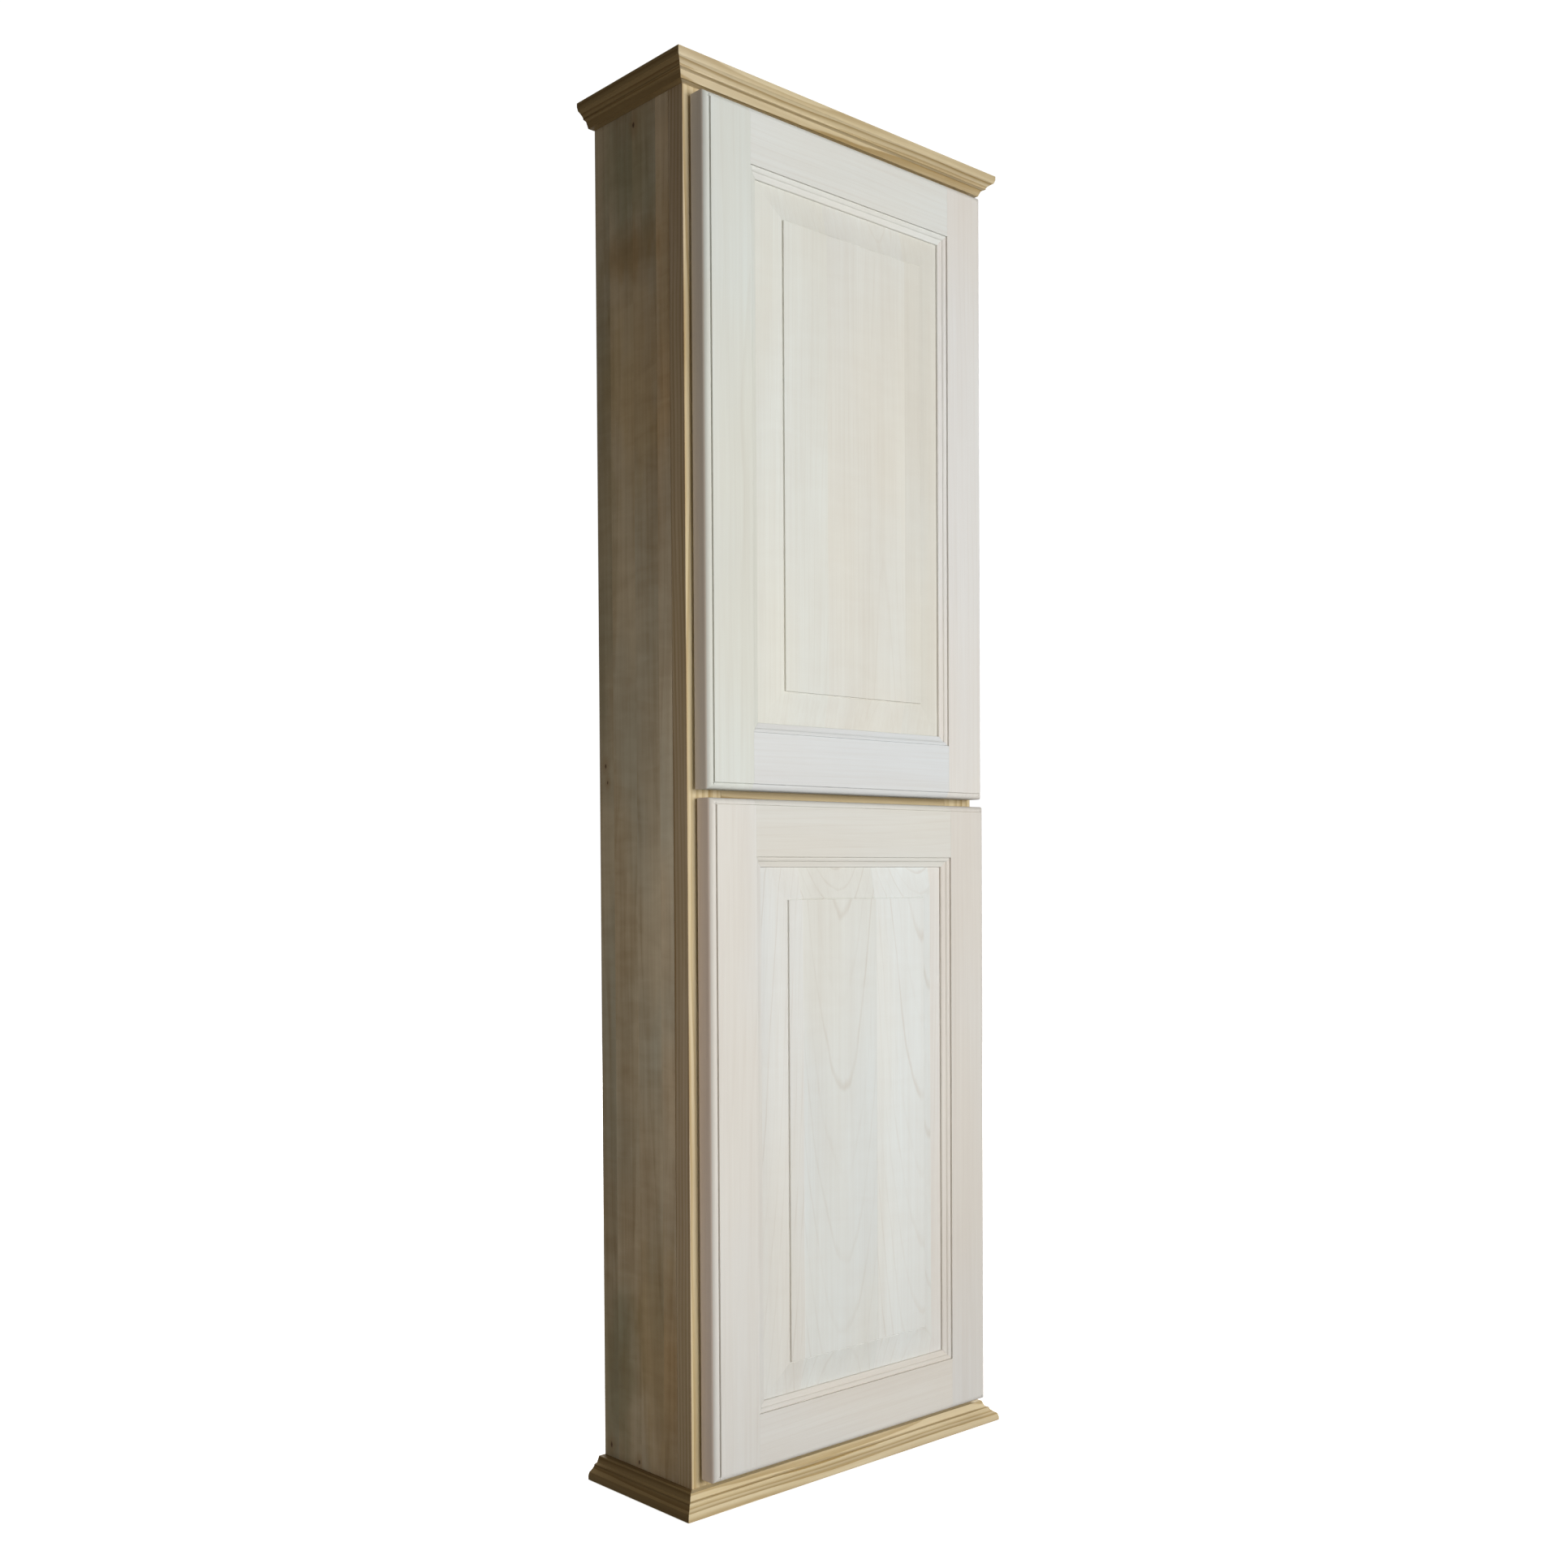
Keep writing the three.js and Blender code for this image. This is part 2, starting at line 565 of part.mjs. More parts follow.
function buildShelves(parent) {
  for (const [bay, heights] of Object.entries(BAYS)) {
    for (let count = 1; count <= SHELVES_PER_BAY; count++) {
      const row = Math.round((heights.length - 1) * (count - 0.5) / SHELVES_PER_BAY);
      buildShelf(parent, `${bay}_shelf_${count}`, heights[row]);
    }
  }
}

// ---------------------------------------------------------------- the whole cabinet
const cabinet = new THREE.Group();
const body = new THREE.Group();
body.position.z = -ORIGIN_HEIGHT;
cabinet.add(body);
buildCarcase(body);
buildFaceFrame(body);
buildMouldings(body);
buildDoor(body, "upper_door", 0, UPPER_DOOR_Z);
buildDoor(body, "lower_door", LOWER_DOOR_SHIFT, LOWER_DOOR_Z);
buildShelves(body);

export default cabinet;
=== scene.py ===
"""Looks for the on-the-wall cabinet: unfinished wood, two raised-panel doors, pine mouldings.

Metres, in the row frame: +Z up, +X right seen from the front, the front faces -Y.
Outlines and sizes that start as millimetres are turned into metres when a mesh is made.
"""
import math
import random

import bmesh
import bpy
from mathutils import Matrix, Vector


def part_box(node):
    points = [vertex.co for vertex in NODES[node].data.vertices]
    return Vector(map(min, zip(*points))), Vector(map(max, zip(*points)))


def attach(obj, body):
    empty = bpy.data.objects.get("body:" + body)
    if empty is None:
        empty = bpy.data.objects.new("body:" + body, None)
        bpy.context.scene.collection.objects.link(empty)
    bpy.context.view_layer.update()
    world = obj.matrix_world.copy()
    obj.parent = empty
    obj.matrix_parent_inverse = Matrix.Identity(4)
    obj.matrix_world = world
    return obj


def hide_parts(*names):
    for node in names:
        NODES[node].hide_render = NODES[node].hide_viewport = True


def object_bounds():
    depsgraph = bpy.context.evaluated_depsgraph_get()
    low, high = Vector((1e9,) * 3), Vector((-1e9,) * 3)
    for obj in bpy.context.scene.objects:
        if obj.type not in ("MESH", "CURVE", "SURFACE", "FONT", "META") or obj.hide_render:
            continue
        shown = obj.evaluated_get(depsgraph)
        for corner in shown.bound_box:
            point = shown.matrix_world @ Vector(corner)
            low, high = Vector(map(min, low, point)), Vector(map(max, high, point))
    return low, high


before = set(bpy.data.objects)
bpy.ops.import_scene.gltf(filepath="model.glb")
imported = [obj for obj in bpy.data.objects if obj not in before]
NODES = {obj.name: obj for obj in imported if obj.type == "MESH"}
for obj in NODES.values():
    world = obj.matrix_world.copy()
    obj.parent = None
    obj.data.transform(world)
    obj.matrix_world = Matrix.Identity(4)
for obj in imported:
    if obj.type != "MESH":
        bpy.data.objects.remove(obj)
cad_low, cad_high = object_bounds()

MM = 0.001
SCENE = bpy.context.scene

# ---------------------------------------------------------------- sizes shared with the CAD, in mm
MOULDING_HEIGHT = 19.5
MOULDING_WIDE = 19.5
MOULDING_NOSE = 7.0
MOULDING_NOSE_LEAN = 1.2
MOULDING_COVE_TURN = 11.6
COVE_DEPTH = 0.3
MOULDING_BEAD_TURN = 12.8
MOULDING_FILLET_TURN = 13.8
MOULDING_BEAD_OUT = 12.6
MOULDING_FILLET_OUT = 9.4
MOULDING_NARROW_OUT = 7.0
CAD_MITRE_GAP = 0.00015  # metres, to each side of a mitre

DOOR_THICKNESS = 20.0
DOOR_FLAT = 50.9
STICKING_WIDTH = 9.3
STICKING_QUIRK = 1.5
QUIRK_GROOVE = 0.7
STICKING_LIP = 1.4
GROOVE_FRONT = 6.9
GROOVE_WIDTH = 6.4
PANEL_ROOM = 1.5
PANEL_BEVEL_WIDTH = 29.7
PANEL_STEP = 1.6
PANEL_FIELD_DEPTH = 0.5
PANEL_CLEARANCE = 0.3
EDGE_WIDTH = 5.2
EDGE_DEPTH = 7.0
EDGE_QUIRK = 1.5
JOINT_GAP = 0.06
STICKING_EDGE = DOOR_FLAT + STICKING_WIDTH
STICKING_BEAD = (4.3, 3.7)  # where the sticking's bead ends: (across it, depth)
STICKING_LAND = (8.3, 4.6)  # where the shallow cove beside it ends

CURVE_STEPS = 14
SMOOTH_ANGLE = math.radians(28)


# ---------------------------------------------------------------- meshes
def link(obj):
    SCENE.collection.objects.link(obj)
    return obj


def quarter_round(start, end, steps=CURVE_STEPS):
    """Points of a quarter ellipse that leaves `start` along the first axis."""
    points = []
    for step in range(steps + 1):
        angle = step / steps * math.pi / 2
        first = start[0] + (end[0] - start[0]) * math.sin(angle)
        second = start[1] + (end[1] - start[1]) * (1 - math.cos(angle))
        points.append((first, second))
    return points


def mirrored(points, width):
    return [(width - a, b) for a, b in reversed(points)]


def finish_mesh(bm, name):
    """Outward faces, smooth over gentle turns and sharp over corners."""
    bmesh.ops.remove_doubles(bm, verts=bm.verts, dist=2e-6)
    bmesh.ops.recalc_face_normals(bm, faces=bm.faces)
    for face in bm.faces:
        face.smooth = True
    for edge in bm.edges:
        if len(edge.link_faces) == 2:
            edge.smooth = edge.calc_face_angle(0) < SMOOTH_ANGLE
    mesh = bpy.data.meshes.new(name)
    bm.to_mesh(mesh)
    bm.free()
    return mesh


def loft(rings, name):
    """A closed mesh through rings of equally many points, capped at both ends."""
    bm = bmesh.new()
    loops = [[bm.verts.new(point) for point in ring] for ring in rings]
    for lower, upper in zip(loops, loops[1:]):
        for i in range(len(lower)):
            j = (i + 1) % len(lower)
            bm.faces.new((lower[i], lower[j], upper[j], upper[i]))
    bm.faces.new(loops[0])
    bm.faces.new(list(reversed(loops[-1])))
    return finish_mesh(bm, name)


def make_object(name, mesh):
    return link(bpy.data.objects.new(name, mesh))


def combine(target, tool, operation):
    """Target joined with, cut by or kept inside tool, as a plain mesh."""
    modifier = target.modifiers.new("combine", "BOOLEAN")
    modifier.operation = operation
    modifier.solver = "EXACT"
    modifier.object = tool
    bpy.context.view_layer.update()
    graph = bpy.context.evaluated_depsgraph_get()
    result = bpy.data.meshes.new_from_object(target.evaluated_get(graph))
    target.modifiers.clear()
    target.data = result
    bpy.data.objects.remove(tool)


def settle(obj):
    """Cleans a mesh that booleans have made."""
    bm = bmesh.new()
    bm.from_mesh(obj.data)
    bmesh.ops.dissolve_degenerate(bm, dist=2e-6, edges=bm.edges)
    obj.data = finish_mesh(bm, obj.name)


def ease(obj, width, segments=2, angle=SMOOTH_ANGLE):
    """Rounds the sharp edges over, as sanding does. The width is in mm."""
    bevel = obj.modifiers.new("eased_edges", "BEVEL")
    bevel.width = width * MM
    bevel.segments = segments
    bevel.limit_method = "ANGLE"
    bevel.angle_limit = angle
    bevel.use_clamp_overlap = True
    bevel.harden_normals = True
    bevel.miter_outer = "MITER_ARC"


# ---------------------------------------------------------------- node helpers
class Graph:
    """Adds nodes to a node tree and links them as they are made."""

    def __init__(self, tree):
        self.tree = tree

    def node(self, kind, sockets=None, **settings):
        made = self.tree.nodes.new(kind)
        for key, value in settings.items():
            setattr(made, key, value)
        for key, value in (sockets or {}).items():
            self.feed(made.inputs[key], value)
        return made

    def feed(self, socket, value):
        if isinstance(value, bpy.types.NodeSocket):
            self.tree.links.new(value, socket)
        else:
            socket.default_value = value

    def math(self, operation, a, b=0.0, clamp=False):
        made = self.node("ShaderNodeMath", {0: a, 1: b}, operation=operation, use_clamp=clamp)
        return made.outputs[0]

    def scaled_up(self, value, factor, start):
        """start + value * factor."""
        sockets = {0: value, 1: factor, 2: start}
        return self.node("ShaderNodeMath", sockets, operation="MULTIPLY_ADD").outputs[0]

    def vector(self, operation, a, b=(0.0, 0.0, 0.0)):
        made = self.node("ShaderNodeVectorMath", {0: a, 1: b}, operation=operation)
        return made.outputs["Value" if operation in ("LENGTH", "DISTANCE") else "Vector"]

    def stretched(self, vector, scale):
        sockets = {0: vector, "Scale": scale}
        return self.node("ShaderNodeVectorMath", sockets, operation="SCALE").outputs[0]

    def parts(self, vector):
        return self.node("ShaderNodeSeparateXYZ", {0: vector}).outputs

    def joined(self, x, y, z):
        return self.node("ShaderNodeCombineXYZ", {0: x, 1: y, 2: z}).outputs[0]

    def noise(self, vector, detail=2.0, roughness=0.5, distortion=0.0):
        sockets = {
            "Vector": vector,
            "Scale": 1.0,
            "Detail": detail,
            "Roughness": roughness,
            "Distortion": distortion,
        }
        return self.node("ShaderNodeTexNoise", sockets)

    def ramp(self, low, high, value):
        """0 below low, 1 above high, smooth between."""
        sockets = {"Value": value, "From Min": low, "From Max": high}
        made = self.node("ShaderNodeMapRange", sockets, interpolation_type="SMOOTHSTEP")
        return made.outputs[0]

    def mix(self, factor, a, b, blend="MIX"):
        made = self.node("ShaderNodeMix", data_type="RGBA", blend_type=blend)
        for index, value in ((0, factor), (6, a), (7, b)):
            self.feed(made.inputs[index], value)
        return made.outputs[2]


def linear(colour):
    """A scene-linear RGBA colour from an sRGB hex number."""
    channels = [(colour >> shift & 255) / 255 for shift in (16, 8, 0)]
    spread = [c / 12.92 if c <= 0.04045 else ((c + 0.055) / 1.055) ** 2.4 for c in channels]
    return (*spread, 1.0)


# ---------------------------------------------------------------- wood
MEAN_TONE = 0.3  # how much late wood shows where no pattern adds or takes away
RING_RIPPLE = 0.0022
LATE_END = 0.92  # where in a ring the late wood is darkest
FAINTEST_RING = 0.25


class Grain:
    """Places in the wood: where a point is, and where noise is read for it."""

    def __init__(self, g, place, seed):
        self.g = g
        self.place = place
        self.moved = g.vector("ADD", place, seed)

    def scaled(self, across, along):
        return self.g.vector("MULTIPLY", self.moved, (across, across, along))

    def centred(self, across, along, **settings):
        """Noise about zero, this many times a metre across and along the grain."""
        noise = self.g.noise(self.scaled(across, along), **settings).outputs[0]
        return self.g.math("SUBTRACT", noise, 0.5)


def ring_radius(g, given, grain):
    """The distance to the pith, which leans and wanders as it runs along the board."""
    leaning = g.stretched(given["Lean"], g.parts(grain.place)[2])
    wandering = g.noise(grain.scaled(5.0, 2.2), detail=2.0).outputs["Color"]
    swing = g.vector("SUBTRACT", wandering, (0.5, 0.5, 0.5))
    centre = g.vector("ADD", given["Pith"], leaning)
    centre = g.vector("ADD", centre, g.stretched(swing, given["Wander"]))
    away = g.vector("SUBTRACT", grain.place, centre)
    return g.vector("LENGTH", g.vector("MULTIPLY", away, (1.0, 1.0, 0.0)))


def latewood(g, given, grain, radius):
    """The dark line of each ring: slightly rippled, of uneven strength, and missing in patches."""
    ripple = g.math("MULTIPLY", grain.centred(45.0, 9.0, detail=3.0), RING_RIPPLE)
    rings = g.math("DIVIDE", g.math("ADD", radius, ripple), given["Ring"])
    within = g.math("FRACT", rings)
    rising = g.ramp(given["Late_start"], LATE_END, within)
    falling = g.math("SUBTRACT", 1.0, g.ramp(LATE_END, 1.0, within))
    number = g.math("FLOOR", rings)
    uneven = g.node("ShaderNodeTexWhiteNoise", {"W": number}, noise_dimensions="1D").outputs[0]
    strength = g.scaled_up(uneven, 1.0 - FAINTEST_RING, FAINTEST_RING)
    late = g.math("MULTIPLY", g.math("MULTIPLY", rising, falling), strength)
    missing = g.ramp(0.4, 0.62, g.noise(grain.scaled(30.0, 14.0), detail=1.0).outputs[0])
    kept = g.math("SUBTRACT", 1.0, g.math("MULTIPLY", missing, given["Patchy"]))
    return g.math("MULTIPLY", late, kept)


def fine_patterns(g, grain):
    """Fibres in two sizes, then fibres, clouds, ripples across the grain and bands along it."""
    fine = g.noise(grain.scaled(1500.0, 22.0), detail=2.0, roughness=0.6).outputs[0]
    coarse = g.noise(grain.scaled(260.0, 4.5), detail=3.0, roughness=0.6).outputs[0]
    fibres = g.math("ADD", g.math("MULTIPLY", fine, 0.45), g.math("MULTIPLY", coarse, 0.9))
    patterns = {
        "Fibre": g.math("SUBTRACT", fibres, (0.45 + 0.9) / 2),
        "Cloud": grain.centred(16.0, 3.5, detail=3.0),
        "Figure": grain.centred(22.0, 75.0, detail=2.0, distortion=0.6),
        "Band": grain.centred(48.0, 1.6, detail=2.0, distortion=0.5),
    }
    return fine, coarse, patterns


def wood_group():
    """Wood as it is in the log: growth rings about a wandering pith, fibres and slow drift of tone.

    The vector is in metres, with the grain along its Z.
    """
    tree = bpy.data.node_groups.new("solid_wood", "ShaderNodeTree")
    inputs = {
        "Vector": ("NodeSocketVector", (0.0, 0.0, 0.0)),
        "Seed": ("NodeSocketVector", (0.0, 0.0, 0.0)),
        "Pith": ("NodeSocketVector", (0.0, 0.0, 0.0)),
        "Lean": ("NodeSocketVector", (0.0, 0.0, 0.0)),
        "Early": ("NodeSocketColor", (0.8, 0.8, 0.8, 1.0)),
        "Late": ("NodeSocketColor", (0.4, 0.4, 0.4, 1.0)),
        "Drift": ("NodeSocketColor", (0.8, 0.8, 0.8, 1.0)),
        "Ring": ("NodeSocketFloat", 0.004),
        "Wander": ("NodeSocketFloat", 0.01),
        "Line": ("NodeSocketFloat", 0.5),
        "Fibre": ("NodeSocketFloat", 0.3),
        "Cloud": ("NodeSocketFloat", 0.3),
        "Figure": ("NodeSocketFloat", 0.2),
        "Band": ("NodeSocketFloat", 0.2),
        "Late_start": ("NodeSocketFloat", 0.25),
        "Patchy": ("NodeSocketFloat", 0.0),
        "Blotch": ("NodeSocketFloat", 1.0),
    }
    for name, (kind, value) in inputs.items():
        socket = tree.interface.new_socket(name, in_out="INPUT", socket_type=kind)
        socket.default_value = value
    for name, kind in (("Color", "Color"), ("Tone", "Float"), ("Height", "Float")):
        tree.interface.new_socket(name, in_out="OUTPUT", socket_type="NodeSocket" + kind)

    g = Graph(tree)
    given = g.node("NodeGroupInput").outputs
    grain = Grain(g, given["Vector"], given["Seed"])
    late = latewood(g, given, grain, ring_radius(g, given, grain))
    fine, coarse, patterns = fine_patterns(g, grain)
    tone = g.math("MULTIPLY", late, given["Line"])
    for amount, pattern in patterns.items():
        tone = g.math("ADD", tone, g.math("MULTIPLY", pattern, given[amount]))
    tone = g.math("ADD", tone, MEAN_TONE, clamp=True)

    wide = g.stretched(grain.scaled(7.0, 2.6), given["Blotch"])
    drift = g.ramp(0.36, 0.64, g.noise(wide, detail=2.0).outputs[0])
    colour = g.mix(tone, g.mix(drift, given["Early"], given["Drift"]), given["Late"])
    raised = g.math("ADD", g.math("MULTIPLY", fine, 0.6), g.math("MULTIPLY", coarse, 0.4))
    height = g.math("SUBTRACT", raised, g.math("MULTIPLY", late, 0.3))
    out = g.node("NodeGroupOutput")
    for name, value in (("Color", colour), ("Tone", tone), ("Height", height)):
        g.feed(out.inputs[name], value)
    return tree


WOOD = wood_group()

# Early wood, late wood and the colour it drifts to, then the strength of each pattern.
LOOKS = {
    "door": dict(
        early=0xDADFDE, late=0xB9AFA2, drift=0xDBDCD6, ring=0.0056, wander=0.02, late_start=0.6,
        line=0.1, fibre=0.28, cloud=0.3, figure=0.03, band=0.18, rough=0.62, patchy=0.5,
    ),
    "pine": dict(
        early=0xDECFA9, late=0x9A7E4A, drift=0xE0D2B2, ring=0.0036, wander=0.012, late_start=0.25,
        line=0.6, fibre=0.5, cloud=0.35, figure=0.05, band=0.5, rough=0.55,
    ),
    "side": dict(
        early=0xC9B99E, late=0x826A48, drift=0xBBB4A0, ring=0.0075, wander=0.03, late_start=0.4,
        line=0.16, fibre=0.42, cloud=0.9, figure=0.36, band=0.42, rough=0.68, patchy=0.8, blotch=1.8,
    ),
    "shelf": dict(
        early=0xDFCDA8, late=0xA88A5A, drift=0xE1D2B2, ring=0.0042, wander=0.016, late_start=0.3,
        line=0.42, fibre=0.45, cloud=0.4, figure=0.08, band=0.3, rough=0.62,
    ),
    "plywood": dict(
        early=0xDCC9A2, late=0xAE9264, drift=0xDFCFAE, ring=0.011, wander=0.05, late_start=0.35,
        line=0.42, fibre=0.5, cloud=0.45, figure=0.1, band=0.3, rough=0.68,
    ),
}
PATTERN_KEYS = (
    "ring", "wander", "line", "fibre", "cloud", "figure", "band", "late_start", "patchy", "blotch",
)
GRAIN_ORDER = {"x": (1, 2, 0), "y": (2, 0, 1), "z": (0, 1, 2)}


def new_material(name):
    """A material, its graph and its shader."""
    material = bpy.data.materials.new(name)
    material.use_nodes = True
    return material, Graph(material.node_tree), material.node_tree.nodes["Principled BSDF"]


def object_place(g):
    return g.node("ShaderNodeTexCoord").outputs["Object"]


def stave_tints(g, shader_colour, position, staves):
    """Multiplies a colour by one tint for each stave of a glued-up board."""
    ramp = g.node("ShaderNodeValToRGB", {0: position})
    ramp.color_ramp.interpolation = "CONSTANT"
    stops = ramp.color_ramp.elements
    while len(stops) < len(staves):
        stops.new(1.0)
    for stop, (start, tint) in zip(stops, staves):
        stop.position = start
        stop.color = (*tint, 1.0)
    return g.mix(1.0, shader_colour, ramp.outputs[0], "MULTIPLY")


def add_stain_and_shade(g, colour, place, stain_and_shade):
    """Tints a soft, ragged ellipse on a side panel, for real stains and for painted light and shade alike:
    (y, z, half width, half height, tint) in mm.
    """
    y, z, half_y, half_z, tint = stain_and_shade
    reach = g.vector("SUBTRACT", place, (0.0, y * MM, z * MM))
    reach = g.vector("MULTIPLY", reach, (0.0, 1 / (half_y * MM), 1 / (half_z * MM)))
    ragged = g.noise(g.vector("MULTIPLY", place, (40.0, 40.0, 14.0)), detail=4.0).outputs[0]
    ragged = g.math("MULTIPLY", g.math("SUBTRACT", ragged, 0.5), 1.6)
    away = g.math("ADD", g.vector("LENGTH", reach), ragged)
    inside = g.math("SUBTRACT", 1.0, g.ramp(0.25, 1.15, away))
    return g.mix(inside, colour, (*tint, 1.0), "MULTIPLY")


def add_flank(g, colour, axes, flank):
    """Tints everything beyond one plane: (axis, limit in metres, sign, tint)."""
    axis, limit, sign, tint = flank
    beyond = g.math("MULTIPLY", g.math("SUBTRACT", axes["xyz".index(axis)], limit), sign)
    return g.mix(g.ramp(-0.0002, 0.0002, beyond), colour, (*tint, 1.0), "MULTIPLY")


KNOT_HALO = linear(0x8A6B45)
KNOT_CORE = linear(0x4A3220)


def add_knots(g, colour, place, knots):
    """Darkens a colour round small knots, each (x, y, z, radius) in mm and longest up the board."""
    for x, y, z, radius in knots:
        reach = g.vector("SUBTRACT", place, (x * MM, y * MM, z * MM))
        ragged = g.noise(g.vector("MULTIPLY", place, (500.0, 500.0, 300.0)), detail=2.0).outputs[0]
        away = g.vector("LENGTH", g.vector("MULTIPLY", reach, (1.0, 1.0, 0.6)))
        away = g.math("ADD", away, g.math("MULTIPLY", ragged, radius * MM * 0.6))
        core = g.math("SUBTRACT", 1.0, g.ramp(radius * MM * 0.6, radius * MM * 1.3, away))
        halo = g.math("SUBTRACT", 1.0, g.ramp(radius * MM, radius * MM * 5, away))
        colour = g.mix(g.math("MULTIPLY", halo, 0.35), colour, KNOT_HALO)
        colour = g.mix(g.math("MULTIPLY", core, 0.85), colour, KNOT_CORE)
    return colour


def shift_staves(g, axes, grain, seed, pith, staves, across):
    """Gives each stave its own seed and pith. Returns both, and the place across the board from 0 to 1."""
    axis, low, high = across
    part = g.math("DIVIDE", g.math("SUBTRACT", axes["xyz".index(axis)], low), high - low)
    steps = 0.0
    shifts = staves[0][2] * MM
    for before, after in zip(staves, staves[1:]):
        passed = g.math("GREATER_THAN", part, after[0])
        steps = g.math("ADD", steps, passed)
        shift = (after[2] - before[2]) * MM
        shifts = g.math("ADD", shifts, g.math("MULTIPLY", passed, shift))
    first = GRAIN_ORDER[grain].index("xyz".index(axis)) == 0
    moved = g.joined(shifts, 0.0, 0.0) if first else g.joined(0.0, shifts, 0.0)
    return g.vector("ADD", seed, g.joined(steps, steps, steps)), g.vector("ADD", pith, moved), part


def feed_look(g, group, facts, tint):
    for key in ("early", "late", "drift"):
        tinted = [min(1.0, c * t) for c, t in zip(linear(facts[key]), tint)]
        g.feed(group.inputs[key.capitalize()], (*tinted, 1.0))
    for key in PATTERN_KEYS:
        if key in facts:
            g.feed(group.inputs[key.capitalize()], facts[key])


WOOD_BUMP = {"Strength": 0.35, "Distance": 0.00015}
WOOD_SPECULAR = 0.22
LATE_ROUGHER = 0.18


def wood(
    name, look, grain, pith, lean=(0.0, 0.0), tint=(1.0, 1.0, 1.0),
    staves=None, across=None, knots=(), stains_and_shade=(), flank=None, **changes,
):
    """A material for one board.

    pith is where the log's centre lies, in mm, in the two axes across the grain. staves is a list of
    (start, tint, pith shift in mm), where start runs from 0 to 1 along `across`: (axis, low, high).
    """
    facts = {**LOOKS[look], **changes}
    material, g, shader = new_material(name)
    rng = random.Random(name)
    seed = tuple(rng.uniform(-40, 40) for _ in range(3))
    centre = (pith[0] * MM, pith[1] * MM, 0.0)
    place = object_place(g)
    axes = g.parts(place)
    group = g.node("ShaderNodeGroup", node_tree=WOOD)
    colour = group.outputs["Color"]
    if staves:
        seed, centre, part = shift_staves(g, axes, grain, seed, centre, staves, across)
        colour = stave_tints(g, colour, part, [stave[:2] for stave in staves])
    g.feed(group.inputs["Vector"], g.joined(*(axes[i] for i in GRAIN_ORDER[grain])))
    g.feed(group.inputs["Seed"], seed)
    g.feed(group.inputs["Pith"], centre)
    g.feed(group.inputs["Lean"], (*lean, 0.0))
    feed_look(g, group, facts, tint)
    # These ellipses are real stains together with painted light and shade.
    for stain_and_shade in stains_and_shade:
        colour = add_stain_and_shade(g, colour, place, stain_and_shade)
    if flank:
        colour = add_flank(g, colour, axes, flank)
    rough = g.scaled_up(group.outputs["Tone"], LATE_ROUGHER, facts["rough"])
    bump = g.node("ShaderNodeBump", {**WOOD_BUMP, "Height": group.outputs["Height"]})
    g.feed(shader.inputs["Base Color"], add_knots(g, colour, place, knots))
    g.feed(shader.inputs["Roughness"], rough)
    g.feed(shader.inputs["Normal"], bump.outputs[0])
    shader.inputs["Specular IOR Level"].default_value = WOOD_SPECULAR
    return material


def steel(name, base, rough):
    """Plated steel with fine drawn scratches and slightly dull patches."""
    material, g, shader = new_material(name)
    place = object_place(g)
    drawn = g.noise(g.vector("MULTIPLY", place, (900.0, 900.0, 60.0)), detail=2.0).outputs[0]
    patches = g.noise(g.vector("MULTIPLY", place, (120.0, 120.0, 120.0)), detail=3.0).outputs[0]
    dull = g.mix(g.ramp(0.35, 0.7, patches), linear(base), linear(base - 0x1C1C1E))
    bump = g.node("ShaderNodeBump", {"Strength": 0.25, "Distance": 0.0001, "Height": drawn})
    g.feed(shader.inputs["Base Color"], dull)
    g.feed(shader.inputs["Roughness"], g.scaled_up(patches, 0.3, rough))
    g.feed(shader.inputs["Normal"], bump.outputs[0])
    shader.inputs["Metallic"].default_value = 1.0
    return material


def rubber(name, base):
    """Pale translucent rubber, a little dusty."""
    material, g, shader = new_material(name)
    place = object_place(g)
    dust = g.noise(g.vector("MULTIPLY", place, (300.0, 300.0, 300.0)), detail=3.0).outputs[0]
    pores = g.noise(g.vector("MULTIPLY", place, (1800.0, 1800.0, 1800.0)), detail=1.0).outputs[0]
    bump = g.node("ShaderNodeBump", {"Strength": 0.2, "Distance": 0.0001, "Height": pores})
    g.feed(shader.inputs["Base Color"], g.mix(dust, linear(base), linear(base - 0x202020)))
    g.feed(shader.inputs["Roughness"], g.scaled_up(dust, 0.3, 0.3))
    g.feed(shader.inputs["Normal"], bump.outputs[0])
    return material


BUMPER_RUBBER = rubber("bumper_rubber", 0xC9CBC6)
HINGE_STEEL = steel("hinge_steel", 0xC4C1BA, 0.28)
PIN_STEEL = steel("pin_steel", 0xBDBBB6, 0.34)


def paint(obj, material):
    """Gives every face of an object one material."""
    obj.data.materials.clear()
    obj.data.materials.append(material)


def dress(name, material, edge=0.5, angle=40):
    """A carried-over CAD node: its own material and eased edges."""
    obj = NODES[name]
    for slot in obj.material_slots:
        slot.link = "OBJECT"
        slot.material = material
    ease(obj, edge, 2, math.radians(angle))


# ---------------------------------------------------------------- camera, light and floor
CAMERA_PLACE = (-1.1134, -1.2715, -0.65755)
CAMERA_YAW = 0.7387
CAMERA_PITCH = -0.0224
CAMERA_ROLL = -0.0057
CAMERA_LENS = 38.908
CAMERA_SHIFT = 0.0836


